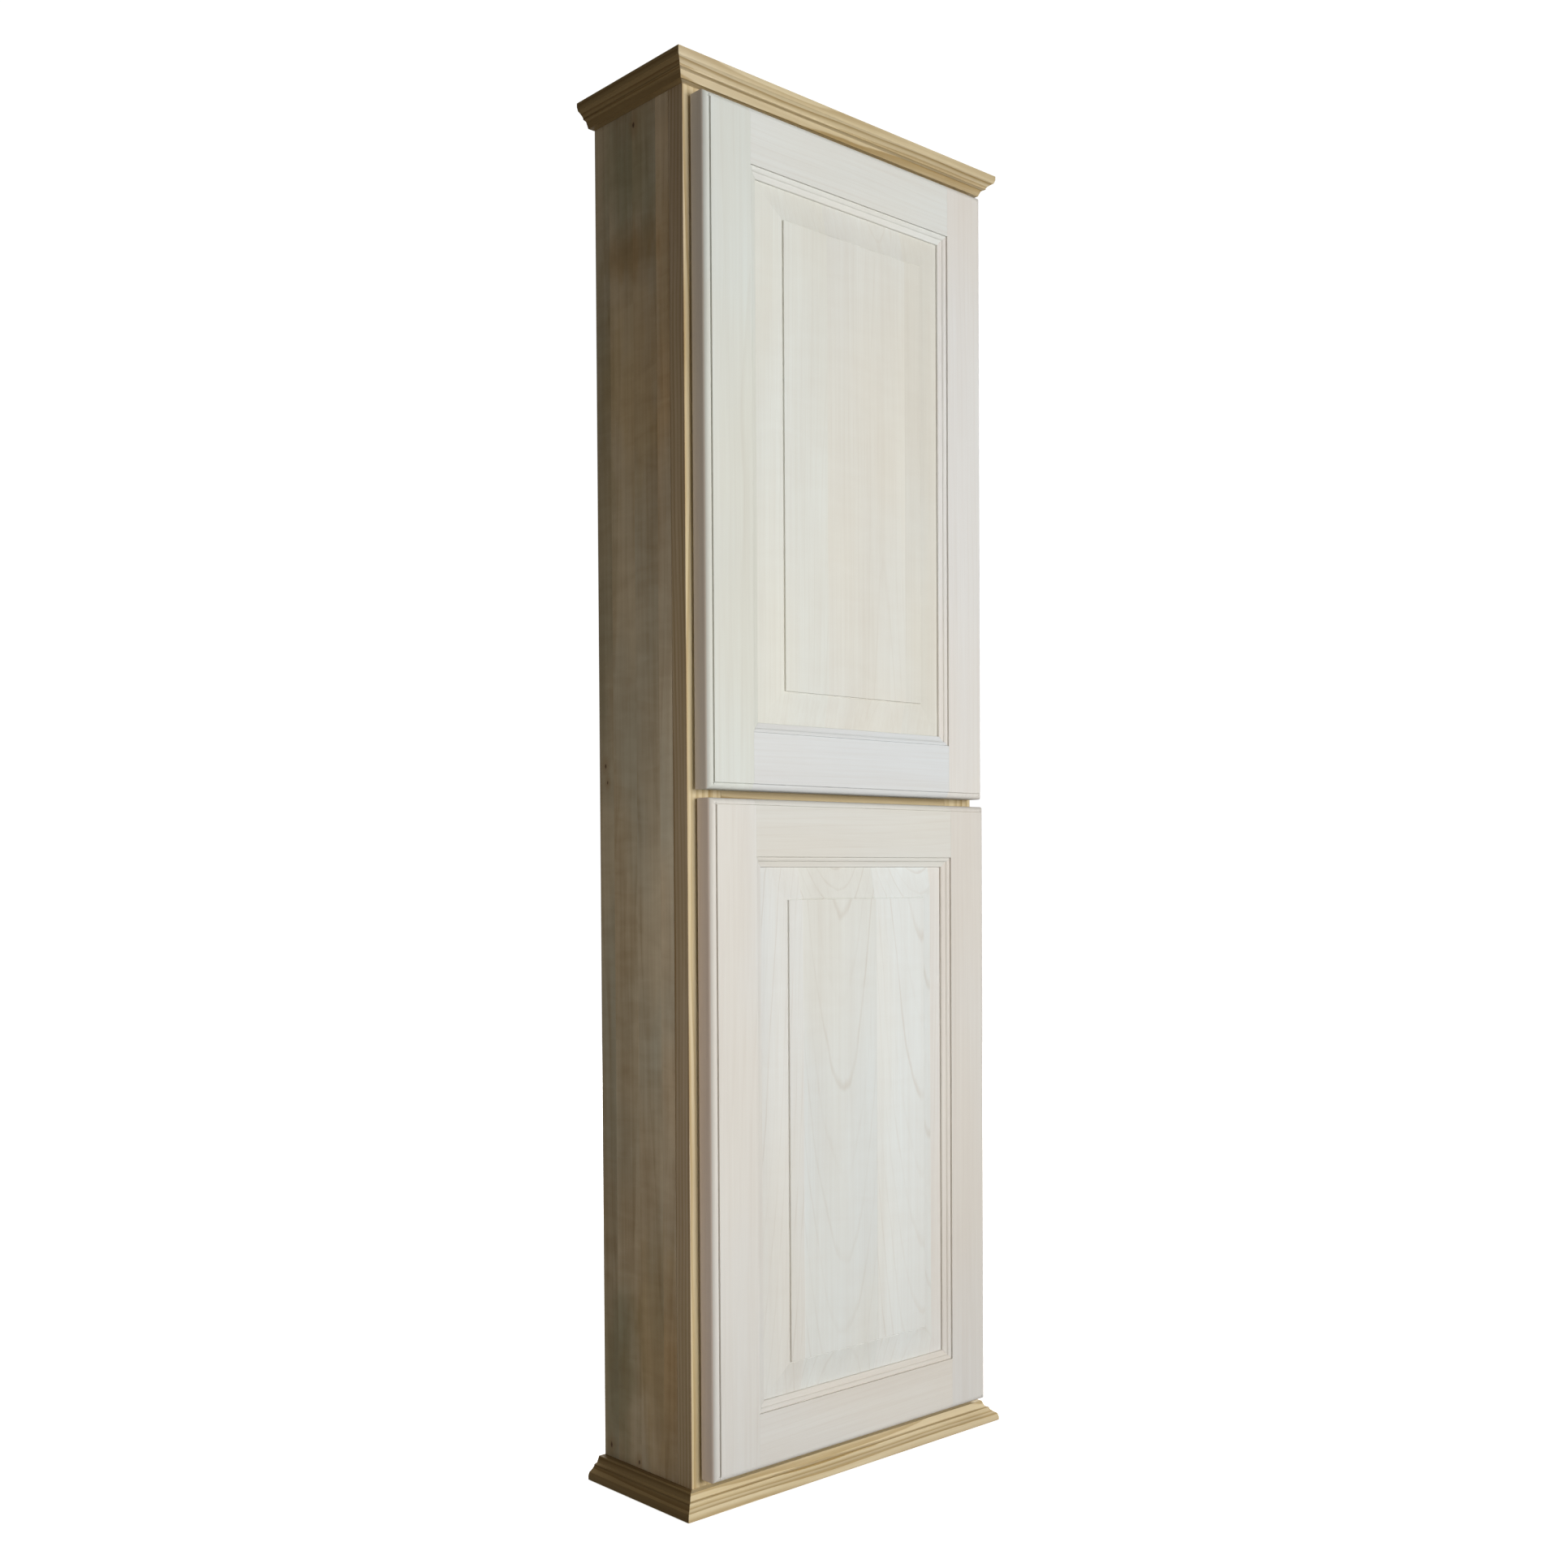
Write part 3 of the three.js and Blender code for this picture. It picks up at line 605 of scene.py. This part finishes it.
def make_camera():
    data = bpy.data.cameras.new("photo_camera")
    data.lens = CAMERA_LENS
    data.sensor_width = 36.0
    data.shift_y = CAMERA_SHIFT
    data.clip_start = 0.05
    data.clip_end = 50.0
    up = Vector((0, 0, 1))
    ahead = Vector((math.sin(CAMERA_YAW), math.cos(CAMERA_YAW), 0))
    right = Vector((math.cos(CAMERA_YAW), -math.sin(CAMERA_YAW), 0))
    look = ahead * math.cos(CAMERA_PITCH) + up * math.sin(CAMERA_PITCH)
    top = -ahead * math.sin(CAMERA_PITCH) + up * math.cos(CAMERA_PITCH)
    side = right * math.cos(CAMERA_ROLL) + top * math.sin(CAMERA_ROLL)
    top = -right * math.sin(CAMERA_ROLL) + top * math.cos(CAMERA_ROLL)
    turn = Matrix((side, top, -look)).transposed().to_4x4()
    camera = link(bpy.data.objects.new("photo_camera", data))
    camera.matrix_world = Matrix.Translation(CAMERA_PLACE) @ turn
    SCENE.camera = camera


def soft_box(name, place, aim, size, power, colour):
    data = bpy.data.lights.new(name, "AREA")
    data.shape = "SQUARE"
    data.size = size
    data.energy = power
    data.color = colour
    light = link(bpy.data.objects.new(name, data))
    light.visible_camera = False
    light.location = place
    light.rotation_mode = "QUATERNION"
    light.rotation_quaternion = (Vector(aim) - Vector(place)).to_track_quat("-Z", "Y")


def make_world():
    """White to the camera, and a dimmer, slightly warm light on everything else."""
    world = bpy.data.worlds.new("studio")
    world.use_nodes = True
    g = Graph(world.node_tree)
    ground = world.node_tree.nodes["Background"]
    seen = g.node("ShaderNodeBackground", {"Color": (1.0, 1.0, 1.0, 1.0), "Strength": 1.05})
    ground.inputs["Color"].default_value = (1.0, 0.92, 0.8, 1.0)
    ground.inputs["Strength"].default_value = 0.1
    path = g.node("ShaderNodeLightPath")
    chosen = g.node("ShaderNodeMixShader", {0: path.outputs["Is Camera Ray"], 1: ground.outputs[0]})
    g.feed(chosen.inputs[2], seen.outputs[0])
    g.feed(world.node_tree.nodes["World Output"].inputs[0], chosen.outputs[0])
    SCENE.world = world


FLOOR_SIZE = 14.0
FLOOR_DROP = 0.0005


def make_floor():
    """A plain white studio floor. It shows as white, yet throws little light back up. Its glow dims near
    the cabinet: a painted contact shadow.
    """
    size = FLOOR_SIZE
    low = cad_low.z - FLOOR_DROP
    mesh = bpy.data.meshes.new("floor")
    corners = [(-size, -size, low), (size, -size, low), (size, size, low), (-size, size, low)]
    mesh.from_pydata(corners, [], [(0, 1, 2, 3)])
    floor = make_object("floor", mesh)
    material, g, shader = new_material("floor_white")
    shader.inputs["Base Color"].default_value = (0.3, 0.3, 0.3, 1.0)
    shader.inputs["Roughness"].default_value = 1.0
    white = g.node("ShaderNodeBsdfDiffuse", {"Color": (0.8, 0.8, 0.8, 1.0)})
    level = g.vector("MULTIPLY", object_place(g), (1.0, 1.0, 0.0))
    # The glow dims towards the cabinet: a painted contact shadow on the floor.
    painted_shadow_glow = g.scaled_up(g.ramp(0.2, 1.3, g.vector("LENGTH", level)), 0.22, 0.8)
    glow = g.node("ShaderNodeEmission", {"Color": (1.0, 1.0, 1.0, 1.0), "Strength": painted_shadow_glow})
    seen = g.node("ShaderNodeAddShader", {0: white.outputs[0], 1: glow.outputs[0]})
    path = g.node("ShaderNodeLightPath")
    chosen = g.node("ShaderNodeMixShader", {0: path.outputs["Is Camera Ray"], 1: shader.outputs[0]})
    g.feed(chosen.inputs[2], seen.outputs[0])
    g.feed(material.node_tree.nodes["Material Output"].inputs[0], chosen.outputs[0])
    mesh.materials.append(material)


# Where each light is, what it aims at, its side in metres, its power and its colour.
MIDDLE = (0.0, -0.1, -0.58)
LIGHTS = {
    "key": ((0.06, -2.6, -0.38), MIDDLE, 1.0, 56.0, (1.0, 1.0, 1.0)),
    "side_fill": ((-1.2, -0.45, -0.72), (-0.18, -0.06, -0.7), 0.4, 2.5, (1.0, 0.92, 0.82)),
    "back_fill": ((2.4, 2.6, 0.4), MIDDLE, 2.2, 85.0, (1.0, 0.98, 0.95)),
    "top_fill": ((0.35, 0.75, 1.7), (0.0, -0.05, 0.0), 1.2, 30.0, (1.0, 0.98, 0.95)),
}


def make_studio():
    SCENE.view_settings.view_transform = "Standard"
    SCENE.view_settings.look = "None"
    make_world()
    make_floor()
    for name, facts in LIGHTS.items():
        soft_box(name, *facts)


# ---------------------------------------------------------------- mouldings
def shallow_cove(start, end):
    """A curve between a quarter ellipse and a straight chamfer."""
    points = []
    for step, curved in enumerate(quarter_round(start, end)):
        share = step / CURVE_STEPS
        straight = [s + (e - s) * share for s, e in zip(start, end)]
        points.append([COVE_DEPTH * c + (1 - COVE_DEPTH) * f for c, f in zip(curved, straight)])
    return points


def moulding_outline():
    """(outward, height) in mm, the wide edge at height 0."""
    nose = (MOULDING_WIDE - MOULDING_NOSE_LEAN, MOULDING_NOSE)
    turn = (MOULDING_BEAD_OUT, MOULDING_COVE_TURN)
    return [
        (0, 0),
        (MOULDING_WIDE, 0),
        (MOULDING_WIDE, MOULDING_NOSE / 2),
        *shallow_cove(nose, turn),
        (MOULDING_BEAD_OUT, MOULDING_BEAD_TURN),
        (MOULDING_FILLET_OUT, MOULDING_FILLET_TURN),
        (MOULDING_NARROW_OUT, MOULDING_HEIGHT),
        (0, MOULDING_HEIGHT),
    ]


def moulding_length(name, side, upside_down, material):
    """One mitred length that takes a CAD moulding's place."""
    low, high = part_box(name)
    mitre = JOINT_GAP / 2 * MM
    rings = []
    for end in (0, 1):
        ring = []
        for outward, height in moulding_outline():
            out = outward * MM
            z = high.z - height * MM if upside_down else low.z + height * MM
            if side == "front":
                face = high.y
                half = high.x - MOULDING_WIDE * MM - mitre + CAD_MITRE_GAP
                x = (half + out) * (1 if end else -1)
                ring.append((x, face - out, z))
            else:
                sign = 1 if side == "right" else -1
                flank = (low.x if sign > 0 else high.x) + sign * out
                front = low.y + MOULDING_WIDE * MM + mitre - CAD_MITRE_GAP
                ring.append((flank, high.y if end else front - out, z))
        rings.append(ring)
    obj = make_object(name + "_run", loft(rings, name + "_run"))
    paint(obj, material)
    ease(obj, 0.2, 2)
    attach(obj, "cabinet")
    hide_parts(name)


# The photo shows the left lengths nearly black, so they are painted that dark as painted shade, not as
# darker wood. The front lengths get painted light: the base a little lighter, the crown a little darker
# and cooler.
MOULDING_PAINTED_LIGHT = {
    ("crown", "left"): (0.36, 0.30, 0.21),
    ("base", "left"): (0.29, 0.24, 0.16),
    ("base", "front"): (1.06, 1.07, 1.09),
    ("crown", "front"): (0.97, 0.98, 1.02),
}


def make_mouldings():
    for band, upside_down, depth in (("crown", True, 60), ("base", False, 34)):
        for side in ("front", "left", "right"):
            name = f"{band}_moulding_{side}"
            low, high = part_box(name)
            middle = (low.z + high.z) / 2 / MM
            grain = "x" if side == "front" else "y"
            if side == "front":
                pith = (low.y / MM + depth, middle + 4)
            else:
                pith = (middle - 5, (low.x if side == "right" else high.x) / MM)
            # The painted light and shade stop short of the top of the crown and of the underside of the
            # base.
            edge, sign = (high.z - 0.0004, -1) if band == "crown" else (low.z + 0.0004, 1)
            tint = MOULDING_PAINTED_LIGHT.get((band, side))
            flank = ("z", edge, sign, tint) if tint else None
            material = wood(name + "_pine", "pine", grain, pith, flank=flank)
            moulding_length(name, side, upside_down, material)


# ---------------------------------------------------------------- doors
def member_outline():
    """A stile or rail across its width, from its outer edge at 0, as (inward, depth) in mm."""
    groove_back = GROOVE_FRONT + GROOVE_WIDTH
    bottom = STICKING_EDGE - STICKING_WIDTH
    lip = GROOVE_FRONT - STICKING_LIP
    bead_across, bead_depth = STICKING_BEAD
    land_across, land_depth = STICKING_LAND
    return [
        (-1, -1),
        (DOOR_FLAT, -1),
        (DOOR_FLAT, STICKING_QUIRK + QUIRK_GROOVE),
        (DOOR_FLAT + QUIRK_GROOVE / 2, STICKING_QUIRK + QUIRK_GROOVE),
        *quarter_round((DOOR_FLAT + QUIRK_GROOVE, STICKING_QUIRK), (DOOR_FLAT + bead_across, bead_depth)),
        (DOOR_FLAT + bead_across + 0.5, bead_depth + 0.25),
        (DOOR_FLAT + land_across, land_depth),
        *quarter_round((DOOR_FLAT + land_across, land_depth), (STICKING_EDGE, lip), 5)[1:],
        (STICKING_EDGE, GROOVE_FRONT),
        (bottom, GROOVE_FRONT),
        (bottom, groove_back),
        (STICKING_EDGE, groove_back),
        (STICKING_EDGE, DOOR_THICKNESS + 1),
        (-1, DOOR_THICKNESS + 1),
    ]


def edge_outline(size):
    """The door's thumbnail edge, across a door of this size."""
    curve = quarter_round((EDGE_DEPTH, 0), (EDGE_QUIRK, EDGE_WIDTH))
    groove = EDGE_QUIRK + QUIRK_GROOVE
    left = [
        (0, DOOR_THICKNESS),
        *((inward, depth) for depth, inward in curve),
        (EDGE_WIDTH + QUIRK_GROOVE / 2, groove),
        (EDGE_WIDTH + QUIRK_GROOVE, groove),
        (EDGE_WIDTH + QUIRK_GROOVE, 0),
    ]
    return [*left, *mirrored(left, size)]


class DoorFrame:
    """Turns a door's own mm (x right, depth back, z up) into the row frame."""

    def __init__(self, door):
        low, left_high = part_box(door + "_stile_left")
        _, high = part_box(door + "_stile_right")
        self.corner = Vector((low.x, low.y, low.z))
        self.width = (high.x - low.x) / MM
        self.height = (left_high.z - low.z) / MM

    def place(self, x, depth, z):
        return self.corner + Vector((x, depth, z)) * MM

    def upright(self, outline, low, high, name):
        """An (x, depth) outline run up Z."""
        rings = [[self.place(x, depth, z) for x, depth in outline] for z in (low, high)]
        return make_object(name, loft(rings, name))

    def across(self, outline, low, high, name):
        """A (z, depth) outline run along X."""
        rings = [[self.place(x, depth, z) for z, depth in outline] for x in (low, high)]
        return make_object(name, loft(rings, name))

    def through(self, outline, name):
        """An (x, z) outline run through the door."""
        depths = (-2, DOOR_THICKNESS + 2)
        rings = [[self.place(x, depth, z) for x, z in outline] for depth in depths]
        return make_object(name, loft(rings, name))


FOOTPRINT_SPARE = 8  # how far a footprint's mitre runs on past the sticking, in mm


def stile_footprint(height):
    """Left stile seen from the front, mitred only where the stickings meet."""
    flat = DOOR_FLAT - JOINT_GAP / 2
    far = STICKING_EDGE + FOOTPRINT_SPARE
    return [
        (-3, -3),
        (flat, -3),
        (flat, DOOR_FLAT + JOINT_GAP / 2),
        (far, far + JOINT_GAP),
        (far, height - far - JOINT_GAP),
        (flat, height - DOOR_FLAT - JOINT_GAP / 2),
        (flat, height + 3),
        (-3, height + 3),
    ]


def rail_footprint(width):
    """Bottom rail seen from the front."""
    flat = DOOR_FLAT + JOINT_GAP / 2
    far = STICKING_EDGE + FOOTPRINT_SPARE
    return [
        (flat, -3),
        (width - flat, -3),
        (width - flat, DOOR_FLAT - JOINT_GAP / 2),
        (width - far, far - JOINT_GAP),
        (far, far - JOINT_GAP),
        (flat, DOOR_FLAT - JOINT_GAP / 2),
    ]


def door_member(door, piece, shape):
    """A stile or rail: its section, kept inside its footprint and inside the door's moulded envelope."""
    width, height = shape.width, shape.height
    name = f"{door}_{piece}_shaped"
    outline = member_outline()
    if piece.startswith("stile"):
        footprint = stile_footprint(height)
        if piece == "stile_right":
            outline = mirrored(outline, width)
            footprint = mirrored(footprint, width)
        member = shape.upright(outline, -1, height + 1, name)
    else:
        footprint = rail_footprint(width)
        if piece == "rail_top":
            outline = mirrored(outline, height)
            footprint = [(x, height - z) for x, z in reversed(footprint)]
        member = shape.across(outline, -1, width + 1, name)
    combine(member, shape.through(footprint, "footprint"), "INTERSECT")
    combine(member, shape.upright(edge_outline(width), -2, height + 2, "edge"), "INTERSECT")
    combine(member, shape.across(edge_outline(height), -2, width + 2, "edge"), "INTERSECT")
    settle(member)
    return member


def door_panel(door, shape):
    """The raised panel as rings, each a rectangle at one inset and depth."""
    start = STICKING_EDGE - STICKING_WIDTH + PANEL_ROOM
    tongue_front = GROOVE_FRONT + PANEL_CLEARANCE
    back = GROOVE_FRONT + GROOVE_WIDTH - PANEL_CLEARANCE
    field = STICKING_EDGE + PANEL_BEVEL_WIDTH
    profile = [
        (start, back),
        (start, tongue_front),
        (STICKING_EDGE, tongue_front),
        (field - 1.2, PANEL_FIELD_DEPTH + PANEL_STEP),
        (field - 0.5, PANEL_FIELD_DEPTH + PANEL_STEP + 0.4),
        (field, PANEL_FIELD_DEPTH + PANEL_STEP + 0.4),
        (field, PANEL_FIELD_DEPTH),
    ]
    rings = []
    for inset, depth in profile:
        far_x, far_z = shape.width - inset, shape.height - inset
        corners = [(inset, inset), (far_x, inset), (far_x, far_z), (inset, far_z)]
        rings.append([shape.place(x, depth, z) for x, z in corners])
    name = door + "_panel_raised"
    return make_object(name, loft(rings, name))


def tint_of(colour, reference=0xDEDDD3):
    """How much an sRGB colour multiplies the door look's early wood."""
    wanted, base = linear(colour), linear(reference)
    return tuple(w / b for w, b in zip(wanted[:3], base[:3]))


# The tone of each piece, as sRGB, and where its pith lies in mm beside and behind its face.
DOOR_BOARDS = {
    "upper_door": {
        "stile_left": (0xDDDED2, (40, 90), (0.0, 0.0)),
        "stile_right": (0xE3DFD5, (-160, 30), (0.0, 0.02)),
        "rail_top": (0xE4E3D8, (70, 30), (0.0, 0.0)),
        "rail_bottom": (0xDEDED8, (60, -20), (0.01, 0.0)),
    },
    "lower_door": {
        "stile_left": (0xE2DFD5, (-60, 70), (0.0, -0.03)),
        "stile_right": (0xDDD8CD, (150, 60), (0.0, 0.0)),
        "rail_top": (0xDEDACD, (55, 20), (0.0, 0.04)),
        "rail_bottom": (0xE1DCD0, (52, -10), (0.0, 0.03)),
    },
}
# Staves of each panel: where each starts across it, its tint, and a shift of its pith in mm.
PANEL_STAVES = {
    "upper_door": [
        (0.0, (1.04, 1.035, 1.0), 0),
        (0.36, (1.03, 1.01, 0.975), 60),
        (0.765, (1.005, 0.985, 0.945), -150),
    ],
    "lower_door": [
        (0.0, (1.05, 1.05, 1.06), -120),
        (0.215, (1.02, 1.03, 1.035), 0),
        (0.59, (1.06, 1.06, 1.06), 110),
        (0.9, (1.05, 1.02, 1.02), -60),
    ],
}
PANEL_LEAN = {"upper_door": 0.02, "lower_door": -0.062}
PANEL_LINE = {"upper_door": 0.12, "lower_door": 0.28}


def panel_material(door):
    low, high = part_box(door + "_panel")
    middle = (low.x + high.x) / 2 / MM
    return wood(
        door + "_panel_wood", "door", "z", (middle - 24, high.y / MM + 26),
        lean=(0.0, PANEL_LEAN[door]), staves=PANEL_STAVES[door], across=("x", low.x, high.x),
        wander=0.012, ring=0.0046, late_start=0.78, line=PANEL_LINE[door], figure=0.12, cloud=0.42,
        patchy=0.6,
    )


# The side of a left stile is painted browner than its face: partly the warmer tone of planed wood, partly
# painted shade. It reaches this far in, in mm.
DOOR_SIDE = 0.6
DOOR_SIDE_TONE_AND_SHADE = (1.02, 0.91, 0.87)


def board_material(door, piece):
    colour, (beside, behind), lean = DOOR_BOARDS[door][piece]
    low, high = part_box(f"{door}_{piece}")
    back = high.y / MM
    name = f"{door}_{piece}_wood"
    if piece.startswith("stile"):
        pith = ((low.x + high.x) / 2 / MM + beside, back + behind)
        # The left stile's side is painted browner, partly as painted shade.
        flank = ("x", low.x + DOOR_SIDE * MM, -1, DOOR_SIDE_TONE_AND_SHADE) if piece == "stile_left" else None
        return wood(name, "door", "z", pith, lean=lean, tint=tint_of(colour), flank=flank)
    pith = (back + behind, (low.z + high.z) / 2 / MM + beside)
    return wood(name, "door", "x", pith, lean=lean, tint=tint_of(colour))


def make_door(door):
    shape = DoorFrame(door)
    for piece in ("stile_left", "stile_right", "rail_bottom", "rail_top"):
        member = door_member(door, piece, shape)
        paint(member, board_material(door, piece))
        ease(member, 0.09, 2)
        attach(member, door)
        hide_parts(f"{door}_{piece}")
    panel = door_panel(door, shape)
    paint(panel, panel_material(door))
    ease(panel, 0.16, 2)
    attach(panel, door)
    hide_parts(door + "_panel")


# ---------------------------------------------------------------- carcase, frame and shelves
# Staves of a side panel, from the front edge to the wall. Their tints are partly the boards' own tones and
# partly painted light: lighter at the front edge, darker towards the wall.
SIDE_STAVES_AND_SHADE = [
    (0.0, (1.12, 1.09, 1.08), 40),
    (0.17, (0.97, 0.97, 0.97), -60),
    (0.48, (0.98, 0.98, 0.97), 70),
    (0.8, (0.86, 0.87, 0.86), 0),
]
# Small knots of a side panel: (y, z, radius) in mm.
SIDE_KNOTS = [(-58, 12, 2.2), (-9, -555, 1.8), (-12, -570, 1.4), (-10, -1182, 2.2), (-52, -1188, 1.8)]


# Darker, greener and browner areas of the left side, with painted light and shade among them: the darker
# areas at the top and bottom are partly painted shade, and the broad lighter area in the middle is painted
# light. (y, z, half width, half height, tint), in mm.
SIDE_STAINS_AND_SHADE = [
    (-58, -28, 52, 62, (0.80, 0.85, 0.78)),
    (-52, -98, 48, 32, (0.80, 0.71, 0.57)),
    (-106, -130, 30, 190, (0.95, 0.87, 0.75)),
    (-50, -215, 55, 120, (0.98, 0.93, 0.82)),
    (-10, -330, 26, 260, (0.84, 0.84, 0.80)),
    (-84, -640, 62, 380, (1.15, 1.20, 1.26)),
    (-84, -1085, 50, 120, (0.88, 0.79, 0.64)),
    (-22, -1115, 42, 110, (0.78, 0.82, 0.77)),
]


def make_carcase():
    for side, sign in (("left", -1), ("right", 1)):
        name = "side_panel_" + side
        low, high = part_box(name)
        # The stave tints paint light on the side panels: lighter at the front, darker towards the wall.
        material = wood(
            name + "_wood", "side", "z", (sign * 120, -60), lean=(0.03 * sign, 0.01),
            staves=SIDE_STAVES_AND_SHADE, across=("y", low.y, high.y),
            # The left side's ellipses are partly painted shade at top and bottom and painted light in the
            # middle.
            stains_and_shade=SIDE_STAINS_AND_SHADE if side == "left" else (),
            knots=[(low.x / MM if sign < 0 else high.x / MM, *knot) for knot in SIDE_KNOTS],
        )
        dress(name, material, 0.5)
    for name, depth in (("top_panel", 70), ("fixed_shelf", 95), ("bottom_panel", -80)):
        low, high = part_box(name)
        middle = (low.z + high.z) / 2 / MM
        dress(name, wood(name + "_wood", "shelf", "x", (-60, middle + depth)), 0.4)
    dress("back_panel", wood("back_panel_wood", "plywood", "z", (20, 140), lean=(0.0, 0.06)), 0.3)
    dress("hanging_rail", wood("hanging_rail_wood", "pine", "x", (60, 10)), 0.6)


# Painted shade: the middle rail between the doors, shaded by the door above, is painted darker.
MIDDLE_RAIL_PAINTED_SHADE = (0.82, 0.80, 0.78)
# Painted shade: the outer sides of the face-frame stiles are painted darker than their fronts.
FACE_FRAME_SIDE_SHADE = (0.69, 0.65, 0.68)


def make_face_frame():
    for side, beside in (("left", 45), ("right", -30)):
        name = "face_frame_stile_" + side
        low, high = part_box(name)
        middle = (low.x + high.x) / 2 / MM
        outer, sign = (low.x, -1) if side == "left" else (high.x, 1)
        # The stile's outer side is painted darker as painted shade.
        flank = ("x", outer - sign * 0.0006, sign, FACE_FRAME_SIDE_SHADE)
        dress(name, wood(name + "_wood", "pine", "z", (middle + beside, -40), flank=flank), 0.35)
    for rail, above in (("top", 20), ("middle", -12), ("bottom", 16)):
        name = "face_frame_rail_" + rail
        low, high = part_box(name)
        middle = (low.z + high.z) / 2 / MM
        # The middle rail is painted darker as painted shade between the doors.
        tint = MIDDLE_RAIL_PAINTED_SHADE if rail == "middle" else (1.0, 1.0, 1.0)
        dress(name, wood(name + "_wood", "pine", "x", (-70, middle + above), tint=tint), 0.2)


def make_shelves():
    for bay in ("lower", "upper"):
        for number in (1, 2):
            name = f"{bay}_shelf_{number}"
            low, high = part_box(name)
            middle = (low.z + high.z) / 2 / MM
            pith = (-70 + 22 * number, middle - 60)
            dress(name, wood(name + "_wood", "shelf", "x", pith), 0.8)
            for place in ("front_left", "front_right", "back_left", "back_right"):
                dress(f"{name}_pin_{place}", PIN_STEEL, 0.35)


def make_hinges():
    for door in ("upper_door", "lower_door"):
        for end in ("bottom", "top"):
            for part in ("frame_leaf", "door_leaf"):
                dress(f"{door}_hinge_{end}_{part}", HINGE_STEEL, 0.15)
            dress(f"{door}_hinge_{end}_pin", PIN_STEEL, 0.15)


# ---------------------------------------------------------------- screws and bumpers
# The visible faces of the hinge leaves, in mm, and which way each one faces along Y.
LEAF_FACES = {"frame_leaf": (-128.5, -1), "door_leaf": (-128.8, 1)}
SCREW_SPACING = 36.0
SCREW_INSET = 10.0
SCREW_PROFILE = [(0.3, 0), (1.6, 0), (2.6, -0.03), (3.0, -0.12), (1.7, -1.5), (1.6, -7.0), (0.4, -8.5)]
SCREW_PROUD = 0.08
BUMPER_PROFILE = [(4.6, 0.0), (4.6, 1.3), (4.3, 2.1), (3.6, 2.7), (2.4, 3.0), (0.4, 3.05)]
BUMPER_INSET = (13.0, 26.0)


def lathe(profile, centre, name, sides=32):
    """Turns a (radius, y) profile in mm about a line along Y through centre (x, z) in mm."""
    rings = []
    for radius, y in profile:
        ring = []
        for step in range(sides):
            angle = step / sides * math.tau
            x = centre[0] + radius * math.cos(angle)
            z = centre[1] + radius * math.sin(angle)
            ring.append(Vector((x, y, z)) * MM)
        rings.append(ring)
    return make_object(name, loft(rings, name))


def cross_slot(centre, face, facing, long_way):
    """One tapering bar of a cross recess."""
    rings = []
    for depth, half in ((-0.5, 1.75), (0.7, 1.1)):
        y = face - facing * depth
        wide = (half, 0.32) if long_way else (0.32, half)
        corners = ((-1, -1), (1, -1), (1, 1), (-1, 1))
        ring = [(centre[0] + a * wide[0], y, centre[1] + b * wide[1]) for a, b in corners]
        rings.append([Vector(point) * MM for point in ring])
    return make_object("slot", loft(rings, "slot"))


def make_screw(name, centre, face, facing, body):
    """A countersunk cross-head screw, flush in a leaf."""
    top = face + facing * SCREW_PROUD
    turned = [(radius, top + facing * y) for radius, y in SCREW_PROFILE]
    screw = lathe(turned, centre, name)
    for long_way in (True, False):
        combine(screw, cross_slot(centre, top, facing, long_way), "DIFFERENCE")
    settle(screw)
    paint(screw, PIN_STEEL)
    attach(screw, body)


def make_bumper(name, centre, door_back, body):
    """A soft round pad that keeps the door off the face frame."""
    bumper = lathe([(radius, door_back + y) for radius, y in BUMPER_PROFILE], centre, name, 40)
    paint(bumper, BUMPER_RUBBER)
    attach(bumper, body)


def leaf_screws(door, end, leaf):
    face, facing = LEAF_FACES[leaf]
    low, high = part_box(f"{door}_hinge_{end}_{leaf}")
    body = "cabinet" if leaf == "frame_leaf" else door
    middle = (low.z + high.z) / 2 / MM
    for row, away in (("low", -0.5), ("high", 0.5)):
        centre = (low.x / MM + SCREW_INSET, middle + away * SCREW_SPACING)
        make_screw(f"{door}_hinge_{end}_{leaf}_screw_{row}", centre, face, facing, body)


def make_fittings():
    for door in ("upper_door", "lower_door"):
        for end in ("bottom", "top"):
            for leaf in LEAF_FACES:
                leaf_screws(door, end, leaf)
        low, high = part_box(door + "_stile_left")
        x = low.x / MM + BUMPER_INSET[0]
        heights = {"bottom": low.z / MM + BUMPER_INSET[1], "top": high.z / MM - BUMPER_INSET[1]}
        for end, z in heights.items():
            make_bumper(f"{door}_bumper_{end}", (x, z), high.y / MM, door)


make_camera()
make_studio()
make_carcase()
make_face_frame()
make_mouldings()
make_shelves()
make_hinges()
make_fittings()
for door_name in ("upper_door", "lower_door"):
    make_door(door_name)
